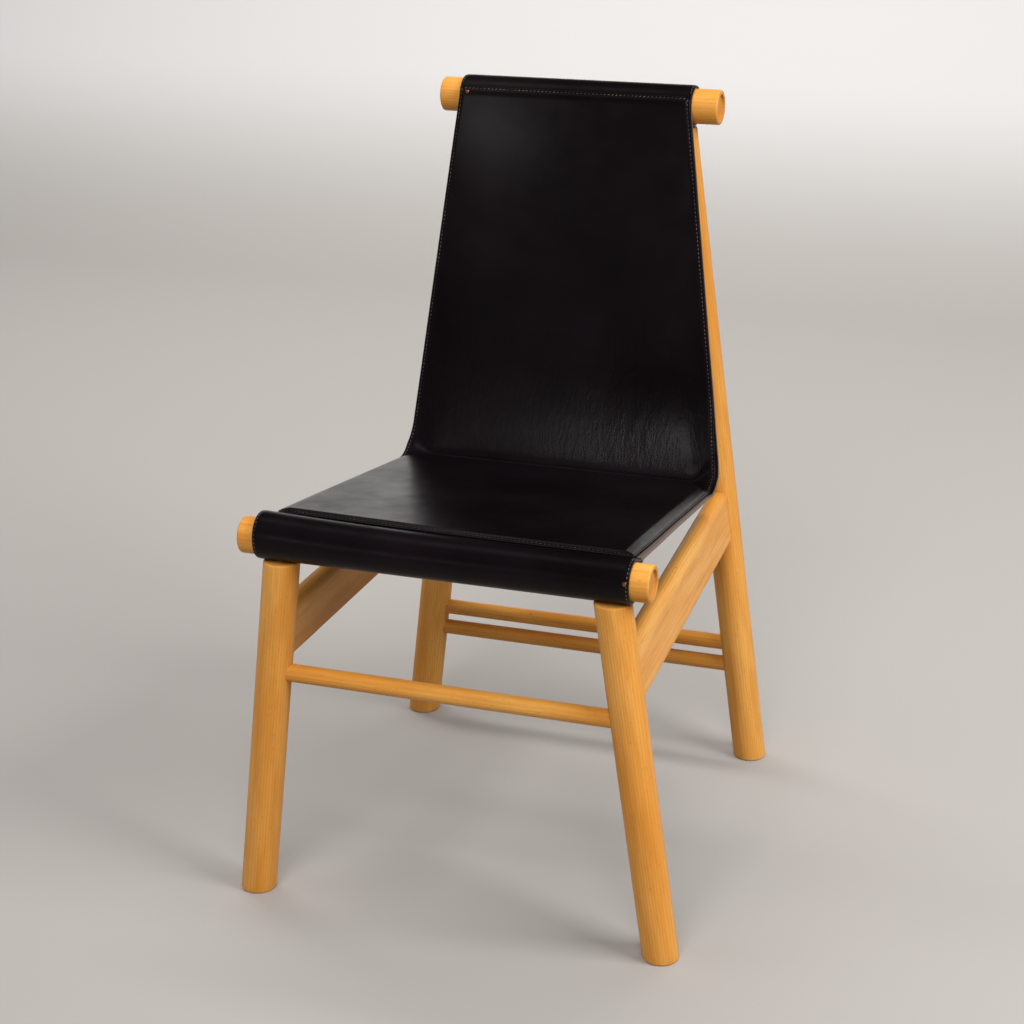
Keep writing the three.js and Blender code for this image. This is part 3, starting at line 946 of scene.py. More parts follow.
    def build(self, finish: Material) -> list[Piece]:
        """Builds every piece of the frame.

        Args:
            finish: The wood.

        Returns:
            The finished pieces.
        """
        made = [self.stick(side, front, finish) for side in Side for front in (True, False)]
        made += [self.side_rail(side, finish) for side in Side]
        made += [self.stretcher(*sizes, finish) for sizes in self.stretchers]
        return made


@dataclass
class Rollers:
    """The two round bars that the sling hangs from, each with a recess turned in its ends."""

    radius: float = 20 * MM
    arris: float = 2.2 * MM
    recess_radius: float = 14.8 * MM
    recess_depth: float = 3.5 * MM
    front_half: float = 228 * MM
    top_half: float = 169.0 * MM
    facets: int = 80

    def profile(self, half: float) -> Array:
        """Half of a roller as (radius, height) rows, from the recess floor to the middle.

        The rim is two quarter circles, a small one into the recess and the outer arris.

        Args:
            half: Half of the roller's length.

        Returns:
            Array of rows x 2.
        """
        t = np.linspace(0, math.pi / 2, 7)
        small = self.arris / 2
        floor_radii = np.linspace(0, self.recess_radius - 0.4 * MM, 6)
        floor = np.stack([floor_radii, np.full(6, -half + self.recess_depth)], -1)
        fillet = np.array([[self.recess_radius, -half + self.recess_depth - 0.4 * MM]])
        fall, rise = 1 - np.sin(t), 1 - np.cos(t)
        lip = np.stack([self.recess_radius + small * rise, -half + small * fall], -1)
        outer = np.stack([self.radius - self.arris * fall, -half + self.arris * rise], -1)
        length = np.linspace(-half + self.arris, 0, 24)[1:]
        side = np.stack([np.full_like(length, self.radius), length], -1)
        return np.concatenate([floor, fillet, lip, outer, side])

    def build(self, shape: StickFrame, finish: Material) -> list[Piece]:
        """Builds both rollers, lying along X over the legs and the posts.

        Args:
            shape: The frame that the rollers lie on.
            finish: The wood.

        Returns:
            Both rollers.
        """
        made = []
        places = {
            "front_roller": (self.front_half, shape.front_head[1], shape.front_axis),
            "top_roller": (self.top_half, shape.rear_head[1], shape.rear_axis),
        }
        for name, (half, y, z) in places.items():
            profile = self.profile(half)
            whole = np.concatenate([profile, (profile * (1, -1))[-2::-1]])
            bar = lathe(whole, self.facets)
            placed = np.stack([bar[..., 2], bar[..., 1] + y, -bar[..., 0] + z], -1)
            patch = shape.wooden(bar, placed, name)
            inside = (np.hypot(bar[..., 0], bar[..., 1]) < self.radius - self.arris) * 1.0
            patch.carried["end"] = np.maximum(patch.carried["end"], inside)
            piece = build_piece(f"turned_{name}", [patch], finish, crease=50)
            made.append(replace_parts(piece, name))
        return made


# Sling


class Part(Enum):
    """The stretches of the sling's path, from the flap under the seat to the one behind."""

    FRONT_FLAP = 0
    FRONT_PINCH = 1
    FRONT_WRAP = 2
    DIP = 3
    SEAT = 4
    CREASE = 5
    BACK = 6
    TOP_WRAP = 7
    TOP_PINCH = 8
    TOP_FLAP = 9


@dataclass
class Stretch:
    """One stretch of the path: a straight length, or a turn about a radius."""

    part: Part
    start: Array
    heading: float
    length: float = 0.0
    turn: float = 0.0
    radius: float = 0.0

    @property
    def size(self) -> float:
        """Length along the path."""
        return self.length or abs(self.turn) * self.radius

    def place(self, reach: Array) -> tuple[Array, Array, Array]:
        """Points and headings at a reach along the stretch.

        A straight runs along its heading. A turn circles a centre that lies radius to the
        left or right of the start, with heading + turn * share.

        Args:
            reach: Distances from the stretch's start.

        Returns:
            Y, Z and heading, as arrays.
        """
        if self.length:
            y = self.start[0] + np.cos(self.heading) * reach
            z = self.start[1] + np.sin(self.heading) * reach
            return y, z, np.full_like(reach, self.heading)
        side = math.copysign(1, self.turn)
        left = np.array([-math.sin(self.heading), math.cos(self.heading)])
        centre = self.start + side * self.radius * left
        angle = self.heading + self.turn * reach / self.size
        y = centre[0] + side * self.radius * np.sin(angle)
        z = centre[1] - side * self.radius * np.cos(angle)
        return y, z, angle


@dataclass
class SlingPath:
    """The line that the leather's middle follows in the Y-Z plane, and its width along it."""

    shape: StickFrame
    roller_radius: float = 20 * MM
    fit: float = 0.3 * MM
    thickness: float = 3.6 * MM
    crease: tuple[float, float] = (159.23 * MM, 393.1 * MM)
    crease_radius: float = 8.0 * MM
    crease_radius_at_edge: float = 40 * MM
    edge_rounding: tuple[float, float] = (0.82, 1.0)
    pinch_radius: float = 4.5 * MM
    dip_turn: float = math.radians(20)
    dip_radius: float = 52.5 * MM
    front_flap: float = 30 * MM
    top_flap: float = 34 * MM
    front_flap_half: float = 203 * MM
    front_wrap_half: float = 208 * MM
    crease_half: float = 197 * MM
    top_wrap_half: float = 141 * MM
    top_flap_half: float = 137 * MM
    top_drift: float = -1.9 * MM

    def __post_init__(self) -> None:
        """Walks the path once: tangents from the crease's corner to the dip and the top
        roller set it. The dip brings the seat down behind the front roller, so its line
        passes (wrap + dip radius) cos(dip turn) - dip radius over the roller's axis."""
        self.wrap = self.roller_radius + self.fit + self.thickness / 2
        front = np.array([self.shape.front_head[1], self.shape.front_axis])
        top = np.array([self.shape.rear_head[1], self.shape.rear_axis])
        corner = np.array(self.crease)
        down, up = corner - front, top - corner
        down_length, up_length = float(np.hypot(*down)), float(np.hypot(*up))
        over_axis = (self.wrap + self.dip_radius) * math.cos(self.dip_turn) - self.dip_radius
        self.dip_reach = (self.wrap + self.dip_radius) * math.sin(self.dip_turn)
        seat = math.atan2(down[1], down[0]) - math.asin(over_axis / down_length)
        back = math.atan2(up[1], up[0]) + math.asin(self.wrap / up_length)
        self.fold = back - seat
        tangent = self.crease_radius * math.tan(self.fold / 2)
        offset = self.thickness + self.fit
        pinch_reach = self.wrap + self.pinch_radius
        front_tilt = math.asin((over_axis - offset - self.pinch_radius) / pinch_reach)
        top_tilt = math.asin((self.wrap - offset - self.pinch_radius) / pinch_reach)
        self.front_flap_reach = pinch_reach * math.cos(front_tilt)
        self.top_flap_reach = pinch_reach * math.cos(top_tilt)
        heading = np.array([math.cos(seat), math.sin(seat)])
        normal = np.array([-heading[1], heading[0]])
        here = front + normal * (over_axis - offset)
        here = here + heading * (self.front_flap_reach + self.front_flap)
        seat_length = math.sqrt(down_length**2 - over_axis**2) - self.dip_reach - tangent
        quarter = math.pi / 2
        walk = [
            (Part.FRONT_FLAP, self.front_flap, 0.0, 0.0),
            (Part.FRONT_PINCH, 0.0, quarter + front_tilt, self.pinch_radius),
            (Part.FRONT_WRAP, 0.0, -(3 * quarter + front_tilt + self.dip_turn), self.wrap),
            (Part.DIP, 0.0, self.dip_turn, self.dip_radius),
            (Part.SEAT, seat_length, 0.0, 0.0),
            (Part.CREASE, 0.0, self.fold, self.crease_radius),
            (Part.BACK, math.sqrt(up_length**2 - self.wrap**2) - tangent, 0.0, 0.0),
            (Part.TOP_WRAP, 0.0, -(3 * quarter + top_tilt), self.wrap),
            (Part.TOP_PINCH, 0.0, quarter + top_tilt, self.pinch_radius),
            (Part.TOP_FLAP, self.top_flap, 0.0, 0.0),
        ]
        self.stretches: list[Stretch] = []
        angle = seat + math.pi
        for part, length, turn, radius in walk:
            made = Stretch(part, here, angle, length, turn, radius)
            self.stretches.append(made)
            y, z, angles = made.place(np.array([made.size]))
            here, angle = np.array([y[0], z[0]]), float(angles[0])
        self.breaks = np.cumsum([0.0] + [each.size for each in self.stretches])

    def start_of(self, part: Part) -> float:
        """Distance along the path at which a stretch starts."""
        return float(self.breaks[part.value])

    def starts(self, *parts: Part) -> list[float]:
        """Distances along the path at which several stretches start."""
        return [self.start_of(part) for part in parts]

    def end_of(self, part: Part) -> float:
        """Distance along the path at which a stretch ends."""
        return float(self.breaks[part.value + 1])

    def half_width(self, s: Array) -> Array:
        """Half of the flat width at a distance along the path, straight between knots.

        Args:
            s: Distance along the path.

        Returns:
            Half widths.
        """
        knots = {
            0.0: self.front_flap_half,
            self.start_of(Part.FRONT_PINCH): self.front_wrap_half,
            self.start_of(Part.SEAT): self.front_wrap_half,
            self.start_of(Part.CREASE): self.crease_half,
            self.start_of(Part.BACK): self.crease_half,
            self.start_of(Part.TOP_WRAP): self.top_wrap_half,
            self.start_of(Part.TOP_FLAP): self.top_wrap_half,
            self.end_of(Part.TOP_FLAP): self.top_flap_half,
        }
        return between(knots, s)

    def twin(self, s: Array) -> tuple[Array, Array]:
        """Where the leather that a flap lies against is, and how it shares its movement.

        A flap mirrors the seat or back it lies against, so it moves by minus as much along
        its own normal. The share eases to nothing over each pinch, and the wraps stay put.

        Args:
            s: Distance along the path.

        Returns:
            Distances along the path on the seat and back, and shares from -1 to 1.
        """
        pinch, wrap, seat = self.starts(Part.FRONT_PINCH, Part.FRONT_WRAP, Part.SEAT)
        top, top_pinch, flap = self.starts(Part.TOP_WRAP, Part.TOP_PINCH, Part.TOP_FLAP)
        low = seat + self.front_flap_reach - self.dip_reach + np.maximum(pinch - s, 0)
        high = top - self.top_flap_reach - np.maximum(s - flap, 0)
        where = np.where(s < wrap, low, np.where(s > top_pinch, high, np.clip(s, seat, top)))
        front = -(1 - smoothstep(s, pinch, wrap))
        rear = -smoothstep(s, top_pinch, flap)
        share = np.where(s < wrap, front, np.where(s > top_pinch, rear, ((s > seat) & (s < top)) * 1.0))
        return where, share

    def bent(self, s: Array, across: Array) -> tuple[Array, ...]:
        """Y, Z and heading of the path, with the crease rounder towards the side edges.

        Across is the share of the half width. The crease's radius grows from the middle to
        the edge, and the straights on both sides of it give up radius * tan(fold / 2).

        Args:
            s: Distance along the path.
            across: Share of the half width, from -1 to 1.

        Returns:
            Y, Z, heading, and the distance along the sharp path at which the point now lies.
        """
        grow = smoothstep(np.abs(across), *self.edge_rounding)
        radius = self.crease_radius + (self.crease_radius_at_edge - self.crease_radius) * grow
        spare = (radius - self.crease_radius) * math.tan(self.fold / 2)
        y, z, angle = (np.zeros(np.broadcast(s, across).shape) for _ in range(3))
        s = np.broadcast_to(s, y.shape)
        moved = np.array(s, dtype=float)
        for stretch, low, high in zip(self.stretches, self.breaks[:-1], self.breaks[1:]):
            here = (s >= low) & (s <= high)
            reach = s[here] - low
            if stretch.part is Part.SEAT:
                reach = reach * (1 - spare[here] / stretch.size)
            if stretch.part is Part.BACK:
                reach = spare[here] + reach * (1 - spare[here] / stretch.size)
            place = stretch.place(reach)
            moved[here] = low + reach
            if stretch.part is Part.CREASE:
                place = self.round_fold(stretch, reach, radius[here], spare[here])
                moved[here] += spare[here] * (2 * reach / stretch.size - 1)
            y[here], z[here], angle[here] = place
        return y, z, angle, moved

    @staticmethod
    def round_fold(
        stretch: Stretch, reach: Array, radius: Array, spare: Array
    ) -> tuple[Array, Array, Array]:
        """The fold's arc at a given radius: it starts spare before the nominal one.

        Args:
            stretch: The crease.
            reach: Distances along its nominal arc.
            radius: Radius of the arc at each point.
            spare: How far before the nominal arc it starts.

        Returns:
            Y, Z and heading, as arrays.
        """
        heading = stretch.heading
        start_y = stretch.start[0] - spare * math.cos(heading)
        start_z = stretch.start[1] - spare * math.sin(heading)
        angle = heading + stretch.turn * reach / stretch.size
        y = start_y - radius * math.sin(heading) + radius * np.sin(angle)
        z = start_z + radius * math.cos(heading) - radius * np.cos(angle)
        return y, z, angle

    def surface(self, s: Array, a: Array, lift: Array) -> Array:
        """A point of the leather, which is flat across: lift off the path, along its normal.

        The sling sits top_drift to one side on the top roller, and comes back to the middle
        down the back.

        Args:
            s: Distance along the path.
            a: Signed distance across from the middle.
            lift: Height off the middle surface.

        Returns:
            Points, of the inputs' shape by 3.
        """
        s, a, lift = np.broadcast_arrays(s, a, lift)
        half = self.half_width(s)
        y, z, angle, moved = self.bent(s, a / half)
        back, top = self.start_of(Part.BACK), self.start_of(Part.TOP_WRAP)
        drift = self.top_drift * np.clip((s - back) / (top - back), 0, 1)
        x = a * self.half_width(moved) / half + drift
        return np.stack([x, y - np.sin(angle) * lift, z + np.cos(angle) * lift], -1)


@dataclass
class Sling:
    """The two leather layers, their seams and what use has done to them.

    The base runs round both rollers and back on itself. The face panel is sewn on it, from
    behind the front roller to the front of the top one.
    """

    path: SlingPath
    panel_thickness: float = 3.4 * MM
    layer_gap: float = 0.3 * MM
    panel_start: float = 0.8 * MM
    panel_turn: float = math.radians(27)
    front_ledge: float = 4.6 * MM
    crease_ledge: float = 3.0 * MM
    front_offset: float = -2.8 * MM
    crease_offset: float = -1.4 * MM
    back_ledge: float = 1.0 * MM
    pad_thickness: float = 4.2 * MM
    pad_clear: float = 0.35
    pad_rear: float = 0.62
    side_border: float = 11.5 * MM
    front_border: float = 5.5 * MM
    pared_border: float = 6.0 * MM
    puff: float = 4.7 * MM
    rear_border: float = 26 * MM
    crest_rounding: float = 0.42
    hip_rounding: float = 1.5
    front_share: float = 0.55
    front_ease: float = 80 * MM
    corner: float = 8 * MM
    border: float = 16 * MM
    edge_thinning: float = 2.0 * MM
    seat_seam_inset: float = 1.6 * MM
    back_seam_inset: float = 3.0 * MM
    hem_inset: float = 2.6 * MM
    front_seam: float = 2.0 * MM
    top_seam: float = 2.4 * MM
    stitch_pitch: float = 4.7 * MM
    stitch_length: float = 2.6 * MM
    thread: float = 0.4 * MM
    groove_depth: float = 0.8 * MM
    groove_width: float = 1.1 * MM
    sag: float = 2.6 * MM
    back_sag: float = 8.5 * MM
    dent_depth: float = 3.0 * MM
    dent_length: float = 150 * MM
    dent_across: float = 125 * MM
    dent_width: float = 65 * MM
    slack_shares: tuple[float, float, float] = (-2.3, -7.5, 3.5)
    slack_length: float = 90 * MM
    hollow_rise: float = 2.8
    ripple_depth: float = 1.2 * MM
    ripples: tuple[Ripple, ...] = (Ripple(0.14, 0.16, 3), Ripple(0.07, 0.09, 5, share=0.5))
    wander: float = 30 * MM
    wandering: Ripple = Ripple(0.05, 0.05, 8)
    creases: tuple[Ripple, ...] = (
        Ripple(0.021, 0.055, 11, bend=1.0),
        Ripple(0.034, 0.08, 29, share=0.8, bend=-2.0),
    )
    crease_patches: Ripple = Ripple(0.04, 0.04, 31)
    crease_end: tuple[float, float] = (60 * MM, 190 * MM)
    fold_lines: Ripple = Ripple(0.06, 0.007, 17, bend=1.0)
    fold_reach: float = 18 * MM
    rubbing: Ripple = Ripple(0.05, 0.05, 23)
    crease_depth: float = 0.2 * MM
    fold_line_depth: float = 0.22 * MM
    flap_seam: float = 12 * MM
    flap_seam_end: float = 8 * MM
    seam_end: float = 5 * MM
    pared_band: tuple[float, float] = (0.65, 0.9)
    seat_end: float = 30 * MM
    noise_slice: float = 0.37
    weak_side: float = 0.3
    weak_width: float = 80 * MM
    seam_turn: tuple[float, float] = (300 * MM, 30 * MM)
    low_shine: tuple[float, ...] = (2.1, 100 * MM, 20 * MM, 140 * MM, 65 * MM)
    high_shine: tuple[float, ...] = (0.9, -100 * MM, -40 * MM, 60 * MM, 60 * MM)
    square_rounding: float = 0.9 * MM
    full_rounding: float = 2.6 * MM

    @property
    def pad_inset(self) -> float:
        """How far in from the panel's side edge the pad's own edge lies."""
        return self.side_border + self.pad_clear * self.side_border

    @property
    def pad_ends(self) -> tuple[float, float]:
        """Distances along the path at which the pad starts and ends."""
        first = self.panel_ends[0] + self.front_border + self.pad_clear * self.side_border
        return first, self.path.start_of(Part.CREASE) - self.rear_border * self.pad_rear

    @property
    def panel_ends(self) -> tuple[float, float]:
        """Distances along the path at which the panel starts and ends."""
        first = self.path.start_of(Part.SEAT) + self.panel_start
        return first, self.path.start_of(Part.TOP_WRAP) + self.panel_turn * self.path.wrap

    def relief(self, s: Array, a: Array) -> Array:
        """How far use has moved the leather off its taut shape, the same for both layers.

        Args:
            s: Distance along the path.
            a: Signed distance across from the middle.

        Returns:
            Moves along the path's normal.
        """
        where, share = self.path.twin(s)
        flap = np.where(s < self.path.start_of(Part.FRONT_WRAP), share, 0)
        return share * self.worked(where, a) + self.puffed(s, a) + flap * self.puffed(where, a)

    def puffed(self, s: Array, a: Array) -> Array:
        """How far the leather has lifted off the front roller towards its left end.

        It is puff times the square of the share of the half width, from the front of the
        wrap over its top, and dies out a little way back on the seat.

        Args:
            s: Distance along the path.
            a: Signed distance across from the middle.

        Returns:
            Lifts off the taut shape.
        """
        path = self.path
        seat, crown = path.start_of(Part.SEAT), path.start_of(Part.DIP) - 0.5 * path.wrap
        along = smoothstep(s, crown - 1.7 * path.wrap, crown - 0.2 * path.wrap)
        along = along * (1 - smoothstep(s, crown + 4 * MM, seat + 16 * MM))
        return self.puff * np.clip(-a / path.front_wrap_half, 0, 1) ** 2 * along

    def offset(self, s: Array) -> Array:
        """How far the panel and its pad sit off the base's middle, as they were laid by eye.

        Args:
            s: Distance along the path.

        Returns:
            Moves across, to the right.
        """
        path = self.path
        knots = {
            path.start_of(Part.SEAT): self.front_offset,
            path.start_of(Part.CREASE): self.crease_offset,
            path.start_of(Part.BACK) + 60 * MM: 0.0,
        }
        return between(knots, s)

    def worked(self, s: Array, a: Array) -> Array:
        """How far the seat and back have moved, along the normal of their upper face.

        The seat sags as a half sine each way. The back hollows by u^0.5 (1 - u)^1.2 (1 - w^6)
        of its shares u up and w across, so it leans back most above the crease, and it is
        pressed in a little more low on the right, by sin^2 up it and a bell across. Broad
        ripples are two noises 70 to 160 mm long. Creases stand at the foot of the back as
        soft furrows along the middle value of two noises that are long up it, break up in
        patches, die out upwards and are weaker on the left.

        Args:
            s: Distance along the path.
            a: Signed distance across from the middle.

        Returns:
            Moves along the normal.
        """
        path = self.path
        half = path.half_width(s)
        seat, fold, back, top = path.starts(Part.SEAT, Part.CREASE, Part.BACK, Part.TOP_WRAP)
        across = np.cos(np.clip(a / half, -1, 1) * math.pi / 2)
        on_seat = np.clip((s - seat) / (fold - seat), 0, 1)
        on_back = np.clip((s - back) / (top - back), 0, 1)
        hollow = self.hollow_rise * on_back**0.5 * (1 - on_back) ** 1.2 * (1 - np.clip(a / half, -1, 1) ** 6)
        dent = np.sin(math.pi * np.clip((s - back) / self.dent_length, 0, 1)) ** 2
        dent = dent * bell(a - self.dent_across, self.dent_width)
        drop = self.sag * across * np.sin(math.pi * on_seat) + self.back_sag * hollow
        drop = drop + self.dent_depth * dent
        free = smoothstep(s, seat + 20 * MM, seat + 70 * MM)
        free = free * (1 - smoothstep(s, top - 60 * MM, top - 10 * MM))
        ripple = sum(each.share * (each.at(a, s) - 0.5) for each in self.ripples)
        bend = self.wander * (self.wandering.at(a, s) - 0.5)
        crease = sum(each.share * self.furrow(each.at(a, s, bend)) for each in self.creases)
        foot = smoothstep(s, fold, back + 10 * MM)
        foot = foot * (1 - smoothstep(s, back + self.crease_end[0], back + self.crease_end[1]))
        right = smoothstep(a, -self.weak_width, self.weak_width)
        foot = foot * (self.weak_side + (1 - self.weak_side) * right) * self.crease_patches.at(a, s)
        fine = 1 - np.abs(2 * self.fold_lines.at(a, s, bend) - 1)
        at_fold = bell(s - (fold + back) / 2, self.fold_reach)
        return (
            -drop
            + self.ripple_depth * ripple * free
            - self.crease_depth * crease * foot * free
            - self.fold_line_depth * fine**4 * at_fold
        )

    @staticmethod
    def furrow(noise: Array) -> Array:
        """A soft furrow where a noise passes its middle value."""
        return bell(noise - 0.5, 0.1)

    def slack(self, s: Array, a: Array) -> Array:
        """How far the panel's front edge lies off straight, fading out along the seat.

        In millimetres it is c0 + c1 t + c2 t^2 for the share t of the half width, so that the
        edge runs nearer to the roller on the right, as it was cut and sewn by hand.

        Args:
            s: Distance along the path.
            a: Signed distance across from the middle.

        Returns:
            Moves along the path.
        """
        t = a / self.path.front_wrap_half
        c0, c1, c2 = self.slack_shares
        fade = 1 - smoothstep(s - self.panel_ends[0], 0, self.slack_length)
        return (c0 + c1 * t + c2 * t * t) * MM * fade

    def ledge(self, s: Array) -> Array:
        """How far the base shows past the panel's side edge: most at the front.

        Args:
            s: Distance along the path.

        Returns:
            Widths of the strip that shows.
        """
        path = self.path
        knots = {
            path.start_of(Part.SEAT): self.front_ledge,
            path.start_of(Part.CREASE): self.crease_ledge,
            path.start_of(Part.BACK) + 60 * MM: self.back_ledge,
            path.start_of(Part.TOP_WRAP): self.back_ledge,
        }
        return between(knots, s)

    def rise(self, s: Array, edge_in: Array) -> Array:
        """How far the panel stands over the pad, at a distance in from its side edge.

        The height is the pad's, times the least share t of the side, front and rear borders.
        At the front corners the crest turns on a quarter circle of r borders: there t is
        r - hypot(r - side, r - front). The crest is rounded: the share is held below 1 by
        ((1 + t) - sqrt((1 - t)^2 + k^2)) / 2, and raised by k^2 / 4 e^(-4 t), so that it
        starts from 0. Legs have pressed the pad down towards its front.

        Args:
            s: Distance along the path.
            edge_in: Distance in from the layer's side edge.

        Returns:
            Heights.
        """
        first, fold = self.panel_ends[0], self.path.start_of(Part.CREASE)
        side = np.maximum(self.hip_rounding - edge_in / self.side_border, 0)
        front = np.maximum(self.hip_rounding - (s - first) / self.front_border, 0)
        hip = self.hip_rounding - np.hypot(side, front)
        rear = 1.6 * smoothstep(fold - s, 2 * MM, 2 * MM + self.rear_border)
        k = self.crest_rounding
        t = np.maximum(np.minimum(hip, rear), 0)
        held = ((1 + t) - np.sqrt((1 - t) ** 2 + k * k)) / 2 + k * k / 4 * np.exp(-4 * t)
        worn = self.front_share + (1 - self.front_share) * smoothstep(s - first, 0, self.front_ease)
        return (self.pad_thickness + self.layer_gap) * worn * np.clip(held, 0, 1)

    def thinning(self, s: Array, edge_in: Array) -> Array:
        """How much thinner the panel is pared along the edges that are sewn down.

        Args:
            s: Distance along the path.
            edge_in: Distance in from the layer's side edge.

        Returns:
            Thicknesses to take off.
        """
        first, last = self.panel_ends
        fold = self.path.start_of(Part.CREASE)
        on_back = smoothstep(s, fold - 20 * MM, fold + 20 * MM)
        side = edge_in / (self.side_border + (self.pared_border - self.side_border) * on_back)
        ends = np.minimum((s - first) / self.front_border, (last - s) / self.pared_border)
        near = np.minimum(side, ends)
        return self.edge_thinning * (1 - np.clip(near, 0, 1))

    def seam_inset(self, s: Array) -> Array:
        """How far in from the panel's side edge its seam runs: close to it along the seat.

        Args:
            s: Distance along the path.

        Returns:
            Distances in from the side edge.
        """
        seat, back = self.path.starts(Part.SEAT, Part.BACK)
        share = smoothstep(s, seat + self.seam_turn[0], back + self.seam_turn[1])
        return self.seat_seam_inset + (self.back_seam_inset - self.seat_seam_inset) * share

    def spread(self, half: float, step: float, rounding: float) -> Array:
        """Distances in from one edge to the middle, close together at the rounding and seam.

        Args:
            half: Distance from the edge to the middle.
            step: Spacing of the plain columns.
            rounding: Radius of the edge.

        Returns:
            Distances in, from 0.
        """
        t = np.linspace(0, math.pi / 2, 6)
        edge = rounding * (1 - np.cos(t))
        border = np.arange(rounding + 0.5 * MM, self.border, 0.75 * MM)
        rest = np.linspace(self.border, half, max(2, int((half - self.border) / step)))
        return np.concatenate([edge, border, rest])

    def rows(self, first: float, last: float, step: float, rounding: float, border: float) -> Array:
        """Distances along the path of a layer's rows, close at its ends, wraps and crease.

        Args:
            first: Where the layer starts.
            last: Where it ends.
            step: Spacing of the plain rows.
            rounding: Radius of its ends.
            border: Length of the closely spaced rows at both ends.

        Returns:
            Distances along the path.
        """
        fine = 0.7 * MM
        found = [
            np.arange(first + rounding, first + border, fine),
            np.arange(last - border, last - rounding, fine),
        ]
        steps = {
            Part.FRONT_PINCH: 0.8 * MM,
            Part.TOP_PINCH: 0.8 * MM,
            Part.FRONT_WRAP: 1.8 * MM,
            Part.DIP: 1.4 * MM,
            Part.TOP_WRAP: 1.8 * MM,
            Part.CREASE: 0.9 * MM,
        }
        for part in Part:
            low = max(self.path.start_of(part), first + border)
            high = min(self.path.end_of(part), last - border)
            if high > low:
                count = max(2, int((high - low) / steps.get(part, step)) + 1)
                found.append(np.linspace(low, high, count))
        inner = np.unique(np.concatenate(found))
        inner = inner[np.concatenate([[True], np.diff(inner) > 0.2 * MM])]
        t = np.linspace(0, math.pi / 2, 6)[:-1]
        edge = rounding * (1 - np.cos(t))
        return np.concatenate([first + edge, inner, last - edge[::-1]])

    def square(self, s: Array) -> Array:
        """Rounding of a side edge that is cut square."""
        return np.full_like(s, self.square_rounding)

    def edge_radius(self, s: Array) -> Array:
        """Rounding of the base's side edge: squared off on seat and back, full on the wraps.

        Args:
            s: Distance along the path.

        Returns:
            Radii.
        """
        seat, top = self.path.start_of(Part.SEAT), self.path.start_of(Part.TOP_WRAP)
        open_edge = smoothstep(s, seat - 4 * MM, seat) * (1 - smoothstep(s, top, top + 4 * MM))
        return self.full_rounding + (self.square_rounding - self.full_rounding) * open_edge

    def grid(
        self, ends: tuple[float, float], inset: Any, radius: Any, step: float, border: float
    ) -> tuple[Array, Array, Array, Array]:
        """Lays a layer out flat as rows and columns that crowd towards its edges.

        Args:
            ends: Where the layer starts and ends along the path.
            inset: Function of s: how far its side edges stop short of the path's half width.
            radius: Function of s: the rounding of its side edges.
            step: Spacing of the plain rows and columns.
            border: Length of the closely spaced rows at both ends.

        Returns:
            Distances along, across and in from the side edge, and the share of the way
            through the rounding, 1 where the layer has its thickness.
        """
        first, last = ends
        s = self.rows(first, last, step, self.square_rounding, border)
        widest = 0.2
        inwards = self.spread(widest, step, self.full_rounding)
        from_end = np.maximum(np.minimum(s - first, last - s), 0)
        short = np.maximum(self.corner - from_end, 0)
        cut = self.corner - np.sqrt(np.maximum(self.corner**2 - short**2, 0))
        half = self.path.half_width(s) - inset(s) - cut
        scale = (half - self.border) / (widest - self.border)
        plain = self.border + (inwards[None, :] - self.border) * scale[:, None]
        rounded = inwards[None, :] * (radius(s) / self.full_rounding)[:, None]
        distance = np.where(inwards[None, :] <= self.border, inwards[None, :], plain)
        distance = np.where(inwards[None, :] <= self.full_rounding * 1.0001, rounded, distance)
        a = half[:, None] - distance
        a = np.concatenate([a, -a[:, -2::-1]], axis=1)
        edge_in = np.concatenate([distance, distance[:, -2::-1]], axis=1)
        along = np.broadcast_to(s[:, None], a.shape)
        share = np.minimum(edge_in / radius(along), from_end[:, None] / self.square_rounding)
        return along, a, edge_in, np.clip(share, 0, 1)

    def shell(
        self,
        name: str,
        along: Array,
        a: Array,
        faces: tuple[Array, Array],
        carried: tuple[dict[str, Array], dict[str, Array]],
        finish: Material,
    ) -> Piece:
        """Closes a layer: its upper and lower faces are grids that meet round its edge.

        Args:
            name: The piece's name.
            along: Distance along the path.
            a: Signed distance across from the middle.
            faces: Lifts of the upper and of the lower face.
            carried: What the upper and the lower face carry for the finish.
            finish: Its material.

        Returns:
            The finished piece.
        """
        relief = self.relief(along, a)
        upper, lower = faces
        above = Patch(self.path.surface(along, a, relief + upper), carried=carried[0])
        below = Patch(self.path.surface(along, a, relief + lower), flip=True, carried=carried[1])
        return build_piece(name, [above, below], finish)

    def marks(self, along: Array, a: Array, edge_in: Array, share: Array) -> dict[str, Array]:
        """What the leather's finish reads at each point: where it is on the flat hide, how far
        it is a cut edge, rubbed at the borders, and creased at the foot of the back.

        Args:
            along: Distance along the path.
            a: Signed distance across from the middle.
            edge_in: Distance in from the layer's side edge.
            share: Share of the way through the edge's rounding.

        Returns:
            Attribute name to its values.
        """
        path = self.path
        fold, back = path.start_of(Part.CREASE), path.start_of(Part.BACK)
        up = 1 - smoothstep(along, back + 30 * MM, back + 230 * MM)
        creased = smoothstep(along, fold - 12 * MM, back + 6 * MM) * up
        return {
            "hide": np.stack([a, along, np.full_like(a, self.noise_slice)], -1),
            "edge": 1 - smoothstep(share, 0.25, 0.6),
            "rubbed": self.rubbing.at(a, along) * smoothstep(-edge_in, -14 * MM, -2 * MM),
            "creased": creased * (0.4 + 0.6 * smoothstep(a, -0.06, 0.12)),
            "polished": self.polish(along, a),
            "raw": np.zeros_like(a),
            "flesh": np.zeros_like(a),
            "puckered": np.zeros_like(a),
        }

